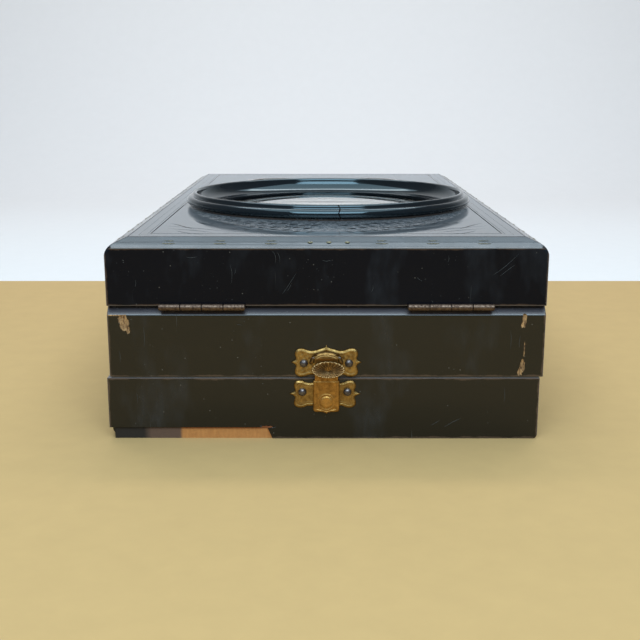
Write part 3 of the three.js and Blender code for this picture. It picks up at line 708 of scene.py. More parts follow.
def motif_tree():
    """Lozenges along a path."""
    tree, given = open_tree("border_motifs", "Spacing", "Length", "Width", "Thickness")
    path = add_node(tree, "GeometryNodeMeshToCurve", [given["Geometry"]])
    sockets = {"Curve": path, "Length": given["Spacing"]}
    points = add_node(tree, "GeometryNodeResampleCurve", sockets, mode="LENGTH")
    along = {"Vector": add_node(tree, "GeometryNodeInputTangent")}
    along = add_node(tree, "FunctionNodeAlignRotationToVector", along, axis="X", pivot_axis="Z")
    blank = {"Vertices": 6, "Radius": 0.5, "Depth": 1.0}
    blank = add_node(tree, "GeometryNodeMeshCylinder", blank, fill_type="NGON")
    size = [given[label] for label in ("Length", "Width", "Thickness")]
    size = add_node(tree, "ShaderNodeCombineXYZ", size)
    shape = add_node(tree, "GeometryNodeTransform", {"Geometry": blank, "Scale": size})
    return close_tree(tree, "gilt", {"Points": points, "Instance": shape, "Rotation": along})


def screw_tree():
    """Countersunk slotted screw heads on points."""
    tree, given = open_tree("slotted_screws", "Head Radius", "Head Depth", "Slot Width", "Seed")
    points = add_node(tree, "GeometryNodeMeshToPoints", [given["Geometry"]])
    head = {"Vertices": 20, "Radius": given["Head Radius"], "Depth": given["Head Depth"]}
    head = add_node(tree, "GeometryNodeMeshCylinder", head)
    wide = add_node(tree, MATH, (given["Head Radius"], 3.0), **TIMES)
    size = add_node(tree, "ShaderNodeCombineXYZ", (wide, given["Slot Width"], given["Head Depth"]))
    bar = add_node(tree, "GeometryNodeMeshCube", {"Size": size})
    rise = add_node(tree, MATH, (given["Head Depth"], 0.6), **TIMES)
    lift = add_node(tree, "ShaderNodeCombineXYZ", {2: rise})
    bar = add_node(tree, "GeometryNodeTransform", {"Geometry": bar, "Translation": lift})
    sockets = {"Mesh 1": head, "Mesh 2": bar}
    slotted = add_node(tree, "GeometryNodeMeshBoolean", sockets, operation="DIFFERENCE")
    about = {"Min": (0, 0, 0), "Max": (0, 0, 3.1), "Seed": given["Seed"]}
    about = add_node(tree, "FunctionNodeRandomValue", about, data_type="FLOAT_VECTOR")
    return close_tree(tree, "steel", {"Points": points, "Instance": slotted, "Rotation": about})


def nail_tree():
    """Round-headed nails on points."""
    tree, given = open_tree("round_nails", "Radius", "Height")
    points = add_node(tree, "GeometryNodeMeshToPoints", [given["Geometry"]])
    ball = add_node(tree, "GeometryNodeMeshUVSphere", {"Segments": 24, "Rings": 16, "Radius": 1.0})
    size = add_node(tree, "ShaderNodeCombineXYZ", (given["Radius"], given["Height"], given["Radius"]))
    head = add_node(tree, "GeometryNodeTransform", {"Geometry": ball, "Scale": size})
    head = add_node(tree, "GeometryNodeSetShadeSmooth", {"Geometry": head})
    return close_tree(tree, "steel", {"Points": points, "Instance": head})


# ---- Wooden sections ------------------------------------------------------------------------------


def hinge_pockets(nodes):
    """Cutters for the recesses that the hinge leaves lie in."""
    cutters = []
    for node in nodes:
        low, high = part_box(node)
        loose = 0.25 * MM
        barrel = 3.5 * MM
        if high.y > 0:
            high = Vector((high.x, high.y - barrel, high.z))
        else:
            low = Vector((low.x, low.y + barrel, low.z))
        upper = "upper" in node
        axis = LID_AXIS if node.startswith("lid") else PLATFORM_AXIS
        leaf = 0.9 * MM + loose
        z0, z1 = (axis.z - 1 * MM, axis.z + leaf) if upper else (axis.z - leaf, axis.z + 1 * MM)
        pad = Vector((loose, loose, 0))
        reach = Vector((0, 2 * MM if high.y > 0 else 0, 0))
        back = Vector((0, 0 if high.y > 0 else 2 * MM, 0))
        a, b = low - pad - back, high + pad + reach
        cutters.append(block_piece("pocket", (a.x, a.y, z0), (b.x, b.y, z1)))
    return cutters


def splinter(centre, radii, seed):
    """A ragged lump that tears a chip out of an edge."""
    bm = bmesh.new()
    bmesh.ops.create_icosphere(bm, subdivisions=3, radius=1)
    for v in bm.verts:
        ragged = 1 + 0.45 * noise.noise(v.co * 2.3 + Vector((seed, 0, 0)))
        v.co = Vector(centre) + Vector([v.co[k] * radii[k] * ragged for k in range(3)])
    return new_piece("splinter", bm, [])


def paint_inside(piece, low, high, index):
    """Gives the faces whose middle lies in a box another of the piece's materials."""
    paint(piece, index, lambda f: all(low[k] <= f.center[k] <= high[k] for k in range(3)))


def front_edges(bm, low, high):
    """The top edge of a block's front."""
    return [
        e for e in bm.edges if all(v.co.y < low.y + 1e-6 and v.co.z > high.z - 1e-6 for v in e.verts)
    ]


def foot_edges(bm, low):
    """The lower edges of a block's sides."""
    feet = [e for e in bm.edges if all(v.co.z < low.z + 1e-6 for v in e.verts)]
    return [e for e in feet if abs(e.verts[0].co.x - e.verts[1].co.x) < 1e-6]


def sharp_edges(bm, degrees):
    """The edges whose faces meet at more than an angle."""
    return [e for e in bm.edges if e.is_manifold and e.calc_face_angle() > math.radians(degrees)]


def make_case(name, outer_nodes, cavity, material, front_bevel=0.0, foot=0.0):
    """A section of the viewer: an eased block with its cavity taken out."""
    arris = bpy.context.scene.viewer_wood.arris
    corners = [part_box(n) for n in outer_nodes]
    low = Vector([min(c[0][k] for c in corners) for k in range(3)])
    high = Vector([max(c[1][k] for c in corners) for k in range(3)])
    bm = bmesh.new()
    block(bm, low, high)
    if front_bevel:
        ease(bm, front_bevel, 1, front_edges(bm, low, high))
    if foot:
        # The lower corners at the sides are rubbed round.
        ease(bm, foot, 4, foot_edges(bm, low))
    ease(bm, arris, 3, sharp_edges(bm, 30))
    piece = new_piece(name, bm, material)
    carve(piece, block_piece("cavity", *cavity))
    return piece, low, high


def cut_along(points, least, start, section, place):
    """A V-shaped cutter along a line of points, fading out at both ends. section gives its half
    width, its height over the surface and its depth for a fade of 0 to 1, and place turns a point
    and a height into a place in the model."""
    bm = bmesh.new()
    rows = []
    last = len(points) - 1
    for i, (u, v) in enumerate(points):
        ahead = Vector(points[min(i + 1, last)]) - Vector(points[max(i - 1, 0)])
        across = Vector((-ahead.y, ahead.x)).normalized()
        fade = max(least, math.sin(math.pi * (start + (1 - 2 * start) * i / last)))
        half, over, deep = section(fade)
        corners = ((-half, over), (0, -deep), (half, over))
        rows.append([bm.verts.new(place(u + across.x * w, v + across.y * w, h)) for w, h in corners])
    capped(bm, rows)
    return new_piece("cut", bm, [])


def scratch_front(piece, face_y, marks, index):
    """Cuts scratches into a piece's front and gives their faces the scuffed finish. Each mark is a
    start, a bend and an end, in millimetres."""
    cutters = []
    for a, b, c in marks:
        points = [a]
        for t in (i / 8 for i in range(1, 9)):
            points.append([(1 - t) ** 2 * a[k] + 2 * t * (1 - t) * b[k] + t * t * c[k] for k in (0, 1)])
        cutters.append(
            cut_along(
                [(x * MM, z * MM) for x, z in points],
                0.25,
                0.1,
                lambda fade: (0.144 * MM * fade, 0.064 * MM * fade, 0.08 * MM * fade),
                lambda x, z, over: (x, face_y - over, z),
            )
        )
    carve(piece, *cutters)

    def beside(mark, x, z):
        (x0, z0), _, (x1, z1) = mark
        return min(x0, x1) - 2 < x < max(x0, x1) + 2 and min(z0, z1) - 1 < z < max(z0, z1) + 1

    def scuffed(face):
        x, y, z = face.center / MM
        sunk = face_y / MM + 0.004 < y < face_y / MM + 0.16 and -0.99 < face.normal.y < -0.3
        return sunk and any(beside(mark, x, z) for mark in marks)

    paint(piece, index, scuffed)


LID_SCRATCHES = (
    ((-27.5, 100.0), (-25.0, 98.0), (-26.0, 93.5)),
    ((-25.2, 99.6), (-23.4, 97.6), (-23.6, 94.4)),
    ((-49.0, 93.0), (-47.0, 89.0), (-48.6, 83.0)),
    ((-46.4, 91.0), (-45.9, 89.5), (-46.6, 88.0)),
    ((-22.6, 77.6), (-19.0, 82.5), (-15.5, 88.4)),
    ((-20.0, 79.4), (-18.6, 81.0), (-17.8, 83.2)),
    ((-2.0, 95.2), (0.0, 94.2), (2.4, 95.4)),
    ((45.8, 86.6), (46.8, 85.2), (48.6, 84.6)),
    ((84.5, 87.6), (90.0, 91.0), (97.0, 98.4)),
    ((88.0, 87.0), (92.0, 90.4), (95.5, 93.0)),
    ((-97.4, 81.4), (-96.6, 83.0), (-97.0, 85.2)),
    ((-71.0, 96.8), (-68.0, 96.2), (-65.4, 97.0)),
    ((23.0, 79.0), (24.0, 80.4), (23.6, 82.6)),
    ((61.4, 94.0), (62.0, 95.8), (61.6, 97.6)),
)
PLATFORM_SCRATCHES = (
    ((-94.0, 60.4), (-93.2, 55.0), (-94.0, 50.0)),
    ((94.6, 58.6), (95.6, 54.0), (94.8, 49.0)),
    ((99.8, 56.0), (99.0, 52.0), (99.6, 49.6)),
    ((-46.0, 61.6), (-44.6, 62.0), (-43.4, 61.4)),
    ((-107.0, 48.0), (-106.2, 45.0), (-106.8, 41.6)),
)
BOX_SCRATCHES = (
    ((92.6, 28.0), (93.4, 24.0), (92.8, 20.0)),
    ((62.0, 6.4), (66.0, 9.4), (70.6, 11.2)),
    ((55.0, 7.4), (57.4, 8.4), (59.6, 10.6)),
    ((-99.0, 25.0), (-98.2, 22.0), (-98.6, 19.4)),
)


def make_card_box():
    """The bottom section, with the strip of veneer that is missing along its front."""
    wall_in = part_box("box_front")[1].y
    low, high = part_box("box_floor")
    cavity = (
        (low.x - 0.15 * MM, wall_in, -1 * MM),
        (high.x + 0.15 * MM, -wall_in, high.z + 60 * MM),
    )
    nodes = ["box_front", "box_back", "box_left", "box_right"]
    materials = [MATERIALS["box"], MATERIALS["bare"], MATERIALS["scratch"]]
    piece, low, high = make_case("card_box_case", nodes, cavity, materials, foot=2.4 * MM)
    strip_top, strip_deep = 6.3 * MM, 1.1 * MM
    bm = bmesh.new()
    ends = block(bm, (low.x - MM, low.y - MM, -MM), (low.x + 83 * MM, low.y + strip_deep, strip_top))
    for v in ends:
        # The break runs down and outwards at its right end.
        if v.co.x > low.x and v.co.z < 0:
            v.co.x += 3.2 * MM
    strip = new_piece("strip", bm, [])
    corner = block_piece(
        "corner",
        (low.x - MM, low.y - MM, -MM),
        (low.x + 2.8 * MM, low.y + 9 * MM, strip_top - 0.4 * MM),
    )
    flap = splinter((low.x + 83 * MM, low.y, strip_top + 0.2 * MM), (4 * MM, 0.5 * MM, 0.7 * MM), 3)
    carve(piece, strip, corner, flap, *hinge_pockets([f"rear_hinge_{s}_lower_leaf" for s, _ in SIDES]))
    inside = low.y + 0.3 * MM
    paint_inside(
        piece, (low.x - MM, inside, 0.2 * MM), (low.x + 90 * MM, low.y + 2 * MM, strip_top + MM), 1
    )
    scratch_front(piece, low.y, BOX_SCRATCHES, 2)
    finish_piece(piece, "card_box", nodes)


def make_platform():
    """The middle section, with torn chips beside its front corners."""
    wall_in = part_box("platform_front")[1].y
    deck_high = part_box("deck_board")[1]
    base, top = (corner.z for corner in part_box("platform_front"))
    side = deck_high.x + 0.15 * MM
    cavity = ((-side, wall_in, base - MM), (side, -wall_in, top + MM))
    nodes = ["platform_front", "platform_back", "platform_left", "platform_right"]
    materials = [MATERIALS[k] for k in ("platform", "fibre", "scratch", "bevel")]
    piece, low, high = make_case("platform_case", nodes, cavity, materials, 4.2 * MM)
    # Torn places as (x from the nearer end, height, radii), in millimetres.
    torn = (
        (8.9, top / MM - 8.8, 2.3, 1.0, 4.4),
        (7.4, top / MM - 6.4, 2.0, 0.8, 2.0),
        (10.6, top / MM - 12.2, 1.0, 0.5, 2.2),
        (-10.9, top / MM - 5.6, 1.2, 0.8, 4.4),
        (-11.8, top / MM - 9.4, 0.8, 0.5, 1.6),
        (-11.0, base / MM + 6.0, 1.3, 0.8, 3.4),
        (-12.2, base / MM + 2.8, 1.4, 0.7, 2.2),
        (-10.4, base / MM + 15.0, 0.35, 0.3, 4.6),
        (-0.5, base / MM + 17.0, 0.6, 0.6, 2.5),
    )
    chips = []
    for seed, (x, z, *radii) in enumerate(torn):
        centre = ((low.x if x > 0 else high.x) + x * MM, low.y - 0.1 * MM, z * MM)
        chips.append(splinter(centre, [r * MM for r in radii], 3 * seed + 1))

    def bevelled(face):
        faces_up = -0.9 < face.normal.y < -0.4 and face.normal.z > 0.4
        return faces_up and face.center.z > top - 5 * MM

    # The upward bevel takes the grey finish whose colour is a painted reflection.
    paint(piece, 3, bevelled)
    leaves = [f"lid_hinge_{s}_lower_leaf" for s, _ in SIDES]
    leaves += [f"rear_hinge_{s}_upper_leaf" for s, _ in SIDES]
    carve(piece, *chips, *hinge_pockets(leaves))
    skin = low.y + 0.02 * MM
    for x0, x1 in ((low.x + 3 * MM, low.x + 16 * MM), (high.x - 17 * MM, high.x - 7 * MM)):
        paint_inside(piece, (x0, skin, base + 0.7 * MM), (x1, low.y + 1.2 * MM, top - 4 * MM), 1)
    scratch_front(piece, low.y, PLATFORM_SCRATCHES, 2)
    finish_piece(piece, "platform", nodes)


def leaf_cutter(bm, x, y, angle, length_mm, width_mm, depth_mm, top):
    """One gouge cut shaped like a pointed leaf, as a closed double cone of shallow facets."""
    long, wide, deep = length_mm * MM / 2, width_mm * MM / 2, depth_mm * MM
    around = []
    for u, w in ((-1, 0), (-0.45, 0.8), (0.2, 1), (1, 0), (0.2, -1), (-0.45, -0.8)):
        px, py = u * long, w * wide
        wx = x + px * math.cos(angle) - py * math.sin(angle)
        wy = y + px * math.sin(angle) + py * math.cos(angle)
        around.append((wx, wy))
    raised = [bm.verts.new((wx, wy, top + 0.3 * MM)) for wx, wy in around]
    rim = [bm.verts.new((wx, wy, top + 0.005 * MM)) for wx, wy in around]
    back = -0.15 * long
    foot = bm.verts.new((x + back * math.cos(angle), y + back * math.sin(angle), top - deep))
    bm.faces.new(raised)
    for i in range(6):
        j = (i + 1) % 6
        bm.faces.new((rim[i], rim[j], raised[j], raised[i]))
        bm.faces.new((foot, rim[j], rim[i]))


def groove_cutter(points, width_mm, depth_mm, top):
    """A V-shaped cut in the flat top along a line of (x, y) points."""
    return cut_along(
        points,
        0.12,
        0.06,
        lambda fade: (width_mm / 2 * MM * fade, 0.25 * MM, depth_mm * MM * fade),
        lambda x, y, over: (x, y, top + over),
    )


def keep_apart(places):
    """Leaves out every leaf that would run into one already placed."""
    kept = []
    for x, y, lean, size in places:
        reach = size * MM / 2
        along = Vector((math.cos(lean), math.sin(lean))) * reach
        spots = [Vector((x, y)) + t * along for t in (-0.6, 0, 0.7)]
        near = (0.42 * size * MM) ** 2 * 0.9
        if all((a - b).length_squared > near for other in kept for a in spots for b in other[1]):
            kept.append(((x, y, lean, size), spots))
    return [k[0] for k in kept]


def garland(radius, reach, step, leaf, phase):
    """Places of the leaves along a stem that follows the ring, as (x, y, direction, size)."""
    places = []
    count = int(math.radians(reach) * radius / step)
    for sign in (-1, 1):
        for i in range(count):
            turn_by = math.radians(2.5) + math.radians(reach - 2.5) * (i + phase) / count
            around = -math.pi / 2 + sign * turn_by
            sway = 3.2 * MM * math.sin(i * 1.15 + phase * 4)
            r = radius + sway
            tangent = around + sign * math.pi / 2
            size = leaf * (1 - 0.45 * i / count)
            for out in (-1, 1):
                lean = tangent + sign * out * math.radians(48)
                off = size * 0.42 * MM
                x = LENS_CENTRE.x + r * math.cos(around) + off * math.cos(lean)
                y = LENS_CENTRE.y + r * math.sin(around) + off * math.sin(lean)
                places.append((x, y, lean, size))
    return places


TENDRILS = (
    ((58, -180), (66, -172), (74, -168), (86, -163)),
    ((52, -176), (62, -166), (72, -160), (89, -152)),
    ((62, -184), (70, -184), (76, -178), (80, -171)),
    ((70, -166), (76, -160), (80, -150), (88, -141)),
)


def foliage_cutters(top):
    """The engraving in front of the ring: two garlands of gouged leaves, their stems, a palmette in
    the middle and long tendrils at the ends."""
    bm = bmesh.new()
    rows = (
        (104 * MM, 40, 6.2 * MM, 7.5, 0.2),
        (118 * MM, 36, 6.6 * MM, 7.8, 0.7),
        (130 * MM, 24, 7 * MM, 6.4, 0.4),
    )
    places = [p for row in rows for p in garland(*row)]
    for x, y, lean, size in keep_apart(places):
        leaf_cutter(bm, x, y, lean, size, size * 0.4, 0.3, top)
    cutters = [new_piece("leaves", bm, [])]
    for radius, reach, _, _, _ in rows:
        for sign in (-1, 1):
            stem = []
            for i in range(41):
                around = -math.pi / 2 + sign * math.radians(1.5 + (reach + 3) * i / 40)
                r = radius + 2.4 * MM * math.sin(i * 0.55)
                x, y = r * math.cos(around), r * math.sin(around)
                stem.append((LENS_CENTRE.x + x, LENS_CENTRE.y + y))
            cutters.append(groove_cutter(stem, 0.9, 0.35, top))
    # Long thin tendrils sweep outwards from the crescent's ends.
    for curve in TENDRILS:
        for sign in (-1, 1):
            line = [(sign * x * MM, y * MM) for x, y in [curve[0]] + bezier(*curve, 18)]
            cutters.append(groove_cutter(line, 1.3, 0.5, top))
    return cutters


def slope_height(inset):
    """Height of the sloped border at a distance inside the lid's edge."""
    wood = bpy.context.scene.viewer_wood
    return PANEL_HIGH.z - wood.slope_rise * (1 - inset / wood.slope_run)


def make_lid():
    """The top section: walls, sloped border and flat top as one lacquered body, with its incised
    lines, its engraving and the holes for the lenses."""
    wood = bpy.context.scene.viewer_wood
    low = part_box("lid_front")[0]
    top = PANEL_HIGH.z
    half_x, half_y = PANEL_HIGH.x, PANEL_HIGH.y
    bm = bmesh.new()
    levels = ((0, low.z), (0, top - wood.slope_rise), (wood.slope_run, top))
    rows = []
    for inset, z in levels:
        x, y = half_x - inset, half_y - inset
        rows.append([bm.verts.new(p) for p in ((-x, -y, z), (x, -y, z), (x, y, z), (-x, y, z))])
    bm.faces.new(rows[0][::-1])
    bm.faces.new(rows[-1])
    skin(bm, rows)
    # The long arrises at the sides are rubbed rounder than the one in front.
    side = [e for e in bm.edges if all(v in rows[1] for v in e.verts)]
    ease(bm, 4 * MM, 6, [e for e in side if e.verts[0].co.x * e.verts[1].co.x > 0])
    ease(bm, 0.8 * MM, 3, sharp_edges(bm, 15))
    materials = [MATERIALS[k] for k in ("lid", "top", "border", "scratch")]
    piece = new_piece("lens_lid_case", bm, materials)
    paint(piece, 1, lambda f: f.normal.z > 0.985)
    paint(piece, 2, lambda f: 0.2 < f.normal.z <= 0.985)
    wall_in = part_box("lid_front")[1].y
    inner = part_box("lid_right")[0].x
    cavity = block_piece("cavity", (-inner, wall_in, low.z - MM), (inner, -wall_in, PANEL_LOW.z))
    bores = []
    holes = (("lens_ring", 83.6), ("stereo_cell_left", 21.9), ("stereo_cell_right", 21.9))
    for node, radius_mm in holes:
        centre = (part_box(node)[0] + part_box(node)[1]) / 2
        r, z0, z1 = radius_mm * MM, PANEL_LOW.z - MM, top + MM
        bm = bmesh.new()
        turn(bm, [(0, z0), (r, z0), (r, z1), (0, z1)], (centre.x, centre.y, 0), 96)
        bores.append(new_piece("bore", bm, []))
    lines = []
    inset0 = wood.slope_run + wood.line_inset
    for offset, wide, deep in ((-5.5, 0.35, 0.15), (-1.6, 0.45, 0.2), (0, 1.1, 0.5)):
        d = inset0 + offset * MM
        w = wide * MM / 2
        section = [(d - w, top + 0.3 * MM), (d, top - deep * MM), (d + w, top + 0.3 * MM)]
        lines.append(frame_loop(half_x, half_y, section))
    # One cut along the middle of the slope, and a quirk where the slope meets the flat.
    middle = wood.slope_run / 2
    for d, w, deep in ((middle, 0.35 * MM, 0.3 * MM), (wood.slope_run + 0.6 * MM, 0.4 * MM, 0.35 * MM)):
        z = min(slope_height(d), top)
        section = [(d - w, z + 0.35 * MM), (d, z - deep), (d + w, z + 0.35 * MM)]
        lines.append(frame_loop(half_x, half_y, section))
    leaves = [f"lid_hinge_{s}_upper_leaf" for s, _ in SIDES]
    carve(piece, cavity, *bores, *lines, *foliage_cutters(top), *hinge_pockets(leaves))
    scratch_front(piece, low.y, LID_SCRATCHES, 3)
    nodes = ["lid_front", "lid_back", "lid_left", "lid_right", "lid_panel"]
    finish_piece(piece, "lens_lid", nodes)


def make_border_motifs():
    """Small gilt lozenges along the middle of the sloped border, and three dots in front."""
    wood = bpy.context.scene.viewer_wood
    tree = motif_tree()
    pitch = 26 * MM
    for part, shift, size in (("outer", -1.3, (6.5, 0.6, 0.4)), ("inner", 1.1, (5.0, 0.45, 0.4))):
        inset = wood.slope_run / 2 + shift * MM
        z = slope_height(inset) - 0.05 * MM
        x, y = PANEL_HIGH.x - inset, PANEL_HIGH.y - inset
        bm = bmesh.new()
        for sign in (-1, 1):
            ends = [(sign * pitch * 1.08, sign * pitch * 3.08, edge, edge) for edge in (-y, y)]
            for xa, xb, ya, yb in ends + [(sign * x, sign * x, -pitch * 7, pitch * 7)]:
                bm.edges.new((bm.verts.new((xa, ya, z)), bm.verts.new((xb, yb, z))))
        piece = new_piece(f"border_motifs_{part}", bm, [MATERIALS["gilt"]])
        long, wide, thick = (v * MM for v in size)
        run_nodes(piece, tree, {"Spacing": pitch, "Length": long, "Width": wide, "Thickness": thick})
        finish_piece(piece, "lens_lid")
    # Three dots in the middle of the front.
    bm = bmesh.new()
    inset = wood.slope_run / 2
    for x in (-8.3, 1.2, 10.6):
        spot = Vector((x * MM, -PANEL_HIGH.y + inset, slope_height(inset) - 0.1 * MM))
        size = Matrix.Diagonal((1.4 * MM, 1.1 * MM, 0.5 * MM, 1))
        bmesh.ops.create_icosphere(bm, subdivisions=3, radius=1, matrix=Matrix.Translation(spot) @ size)
    finish_piece(new_piece("border_dots", bm, [MATERIALS["gilt"]], 60), "lens_lid")


# ---- Ring and lenses ------------------------------------------------------------------------------


def make_ring():
    """The turned ring: bead, quirk, thin lip and a deep cove down to the glass, with one crack."""
    low, top = PANEL_LOW.z / MM, PANEL_HIGH.z / MM + 0.02
    sleeve, bore, window = 83.4, 77.1, 75.4
    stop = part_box("magnifying_lens")[0].z / MM + 10.1
    profile = [(bore, low), (sleeve, low), (sleeve, top), (90.2, top), (90.2, top + 0.9)]
    profile += arc((89.3, top + 3.75), 2.9, -68, 72, 14)
    profile += [(89.6, top + 6.6), (88.85, top + 6.75), (88.75, top + 7.0)]
    profile += arc((87.1, top + 7.45), 1.6, -10, 150, 10)
    lip = profile[-1]
    foot = (window, stop + 1.2)
    wide, deep = lip[0] - foot[0], lip[1] - foot[1]
    for a in (i / 14 * math.pi / 2 for i in range(1, 15)):
        profile.append((lip[0] - wide * (1 - math.cos(a)), lip[1] - deep * math.sin(a)))
    profile += [(window, stop), (bore, stop)]
    bm = bmesh.new()
    turn(bm, [(r * MM, z * MM) for r, z in profile], (LENS_CENTRE.x, LENS_CENTRE.y, 0), 192)
    piece = new_piece("lens_ring_turned", bm, [MATERIALS["ring"], MATERIALS["crack"]])
    # The crack: thin wedges that zigzag up through the bead and the lip.
    bm = bmesh.new()
    front = LENS_CENTRE.y - 92.5 * MM
    steps = ((7.6, 0.4), (8.1, 2.6), (7.4, 4.6), (8.2, 6.7), (6.9, 9.6))
    for (x0, z0), (x1, z1) in zip(steps, steps[1:]):
        z1 += 0.01
        wedge = ((x0 - 0.32, z0), (x0 + 0.32, z0), (x1 + 0.42, z1), (x1 - 0.42, z1))
        wedge = [(x * MM, (top + z) * MM) for x, z in wedge]
        capped(bm, [[bm.verts.new((x, front + y * MM, z)) for x, z in wedge] for y in (-0.6, 6.2)])
    carve(piece, new_piece("crack", bm, []))
    near = LENS_CENTRE.y - 80 * MM

    def cracked(face):
        across = abs(face.normal.x) > 0.75 and 6 * MM < face.center.x < 9 * MM
        return across and face.center.y < near

    paint(piece, 1, cracked)
    piece.data.shade_smooth()
    piece.data.set_sharp_from_angle(angle=math.radians(40))
    finish_piece(piece, "lens_lid", ["lens_ring"])


def lens_profile(radius, edge_low, edge_high, sag, steps=24):
    """The section of a lens with two domed faces, from the axis round to the axis."""
    lower = [(radius * i / steps, edge_low - sag * (1 - (i / steps) ** 2)) for i in range(steps + 1)]
    upper = [(r, edge_high + edge_low - z) for r, z in reversed(lower)]
    return lower + upper


def make_lenses():
    """The reading lens and the stereo pair, ground and polished."""
    lenses = (
        ("magnifying_lens", 6 * MM, 144),
        ("stereo_lens_left", 1.1 * MM, 72),
        ("stereo_lens_right", 1.1 * MM, 72),
    )
    for node, sag, sides in lenses:
        low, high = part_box(node)
        centre = (low + high) / 2
        bm = bmesh.new()
        radius = (high.x - low.x) / 2
        turn(bm, lens_profile(radius, low.z + sag, high.z - sag, sag), (centre.x, centre.y, 0), sides)
        piece = new_piece(f"{node}_glass", bm, [MATERIALS["glass"]], 50)
        finish_piece(piece, "lens_lid", [node])


def make_cells():
    """The turned cells of the stereo lenses: a low rounded flange and a dished mouth."""
    for side, _ in SIDES:
        node = f"stereo_cell_{side}"
        low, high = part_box(node)
        centre = (low + high) / 2
        top = PANEL_HIGH.z / MM
        profile = [(19.8, low.z / MM), (21.7, low.z / MM), (21.7, top + 0.02), (24.2, top + 0.02)]
        profile += arc((23.9, top + 0.5), 0.5, -60, 90, 6)
        mouth = ((21.2, top + 1.05), (19.6, top + 1.0), (18.9, top - 0.2), (18.7, top - 1.6))
        profile += [mouth[0], *bezier(*mouth, 8)]
        profile += [(19.8, top - 1.7)]
        bm = bmesh.new()
        turn(bm, [(r * MM, z * MM) for r, z in profile], (centre.x, centre.y, 0), 96)
        piece = new_piece(f"{node}_turned", bm, [MATERIALS["ring"]], 40)
        finish_piece(piece, "lens_lid", [node])


# ---- Hinges ---------------------------------------------------------------------------------------


def hinge_leaf(kind, side, which, axis):
    """One leaf of a butt hinge with its two knuckles; the two leaves' knuckles alternate."""
    low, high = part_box(f"{kind}_hinge_{side}_{which}_leaf")
    pin_low, pin_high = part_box(f"{kind}_hinge_{side}_pin")
    outward = -1 if axis.y < 0 else 1
    run = (pin_high.x - pin_low.x) / 4
    face = axis.y - outward * 2 * MM
    inner = low.y if outward > 0 else high.y
    z0 = axis.z + 0.1 * MM if which == "upper" else axis.z - 0.9 * MM
    z1 = z0 + 0.8 * MM
    bore, knuckle, soft = 0.98 * MM, 1.75 * MM, 0.2 * MM
    bm = bmesh.new()
    ends = sorted((face - outward * 0.05 * MM, inner))
    block(bm, (low.x, ends[0], z0), (high.x, ends[1], z1))
    for i in range(0 if which == "upper" else 1, 4, 2):
        x0 = pin_low.x + i * run + 0.12 * MM
        x1 = pin_low.x + (i + 1) * run - 0.12 * MM
        profile = [(bore, x0), (knuckle - soft, x0), (knuckle, x0 + soft)]
        profile += [(knuckle, x1 - soft), (knuckle - soft, x1), (bore, x1)]
        turn(bm, profile, (0, axis.y, axis.z), 32, "X")
        near = sorted((face - outward * 0.3 * MM, axis.y - outward * 1.15 * MM))
        block(bm, (x0, near[0], z0), (x1, near[1], z1))
    return new_piece(f"{kind}_hinge_{side}_{which}", bm, [MATERIALS["hinge"]], 25)


def make_hinges():
    """Four butt hinges: rolled knuckles that alternate round a pin, and leaves let into the wood."""
    plan = (
        ("lid", LID_AXIS, "lens_lid", "platform"),
        ("rear", PLATFORM_AXIS, "platform", "card_box"),
    )
    for kind, axis, upper_body, lower_body in plan:
        for side, _ in SIDES:
            for which, body in (("upper", upper_body), ("lower", lower_body)):
                leaf = hinge_leaf(kind, side, which, axis)
                finish_piece(leaf, body, [f"{kind}_hinge_{side}_{which}_leaf"])
            node = f"{kind}_hinge_{side}_pin"
            x0, x1 = (corner.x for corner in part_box(node))
            r, soft = 0.75 * MM, 0.2 * MM
            profile = [(0, x0), (r * 0.7, x0), (r, x0 + soft), (r, x1 - soft), (r * 0.7, x1), (0, x1)]
            bm = bmesh.new()
            turn(bm, profile, (0, axis.y, axis.z), 16, "X")
            piece = new_piece(f"{kind}_hinge_{side}_rod", bm, [MATERIALS["steel"]], 50)
            finish_piece(piece, lower_body, [node])


def make_screws():
    """Screws in the hinge leaves, one set for each body."""
    tree = screw_tree()
    sets = (
        ("lens_lid", "lens_lid", "lid", "upper"),
        ("platform_lid", "platform", "lid", "lower"),
        ("platform_rear", "platform", "rear", "upper"),
        ("card_box", "card_box", "rear", "lower"),
    )
    sizes = {"Head Radius": 2.1 * MM, "Head Depth": 0.6 * MM, "Slot Width": 0.5 * MM}
    for seed, (label, body, kind, which) in enumerate(sets, 3):
        axis = LID_AXIS if kind == "lid" else PLATFORM_AXIS
        bm = bmesh.new()
        for side, _ in SIDES:
            low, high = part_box(f"{kind}_hinge_{side}_{which}_leaf")
            y = high.y - 3.4 * MM if axis.y < 0 else low.y + 3.4 * MM
            for t in (0.14, 0.5, 0.86):
                x = low.x + (high.x - low.x) * t
                # The heads' tops lie level with the leaf, on the side that faces the seam.
                z = axis.z + (0.42 if which == "upper" else -0.42) * MM
                bm.verts.new((x, y, z))
        piece = new_piece(f"hinge_screws_{label}", bm, [MATERIALS["steel"]])
        run_nodes(piece, tree, {**sizes, "Seed": seed})
        finish_piece(piece, body)


# ---- Catch ----------------------------------------------------------------------------------------


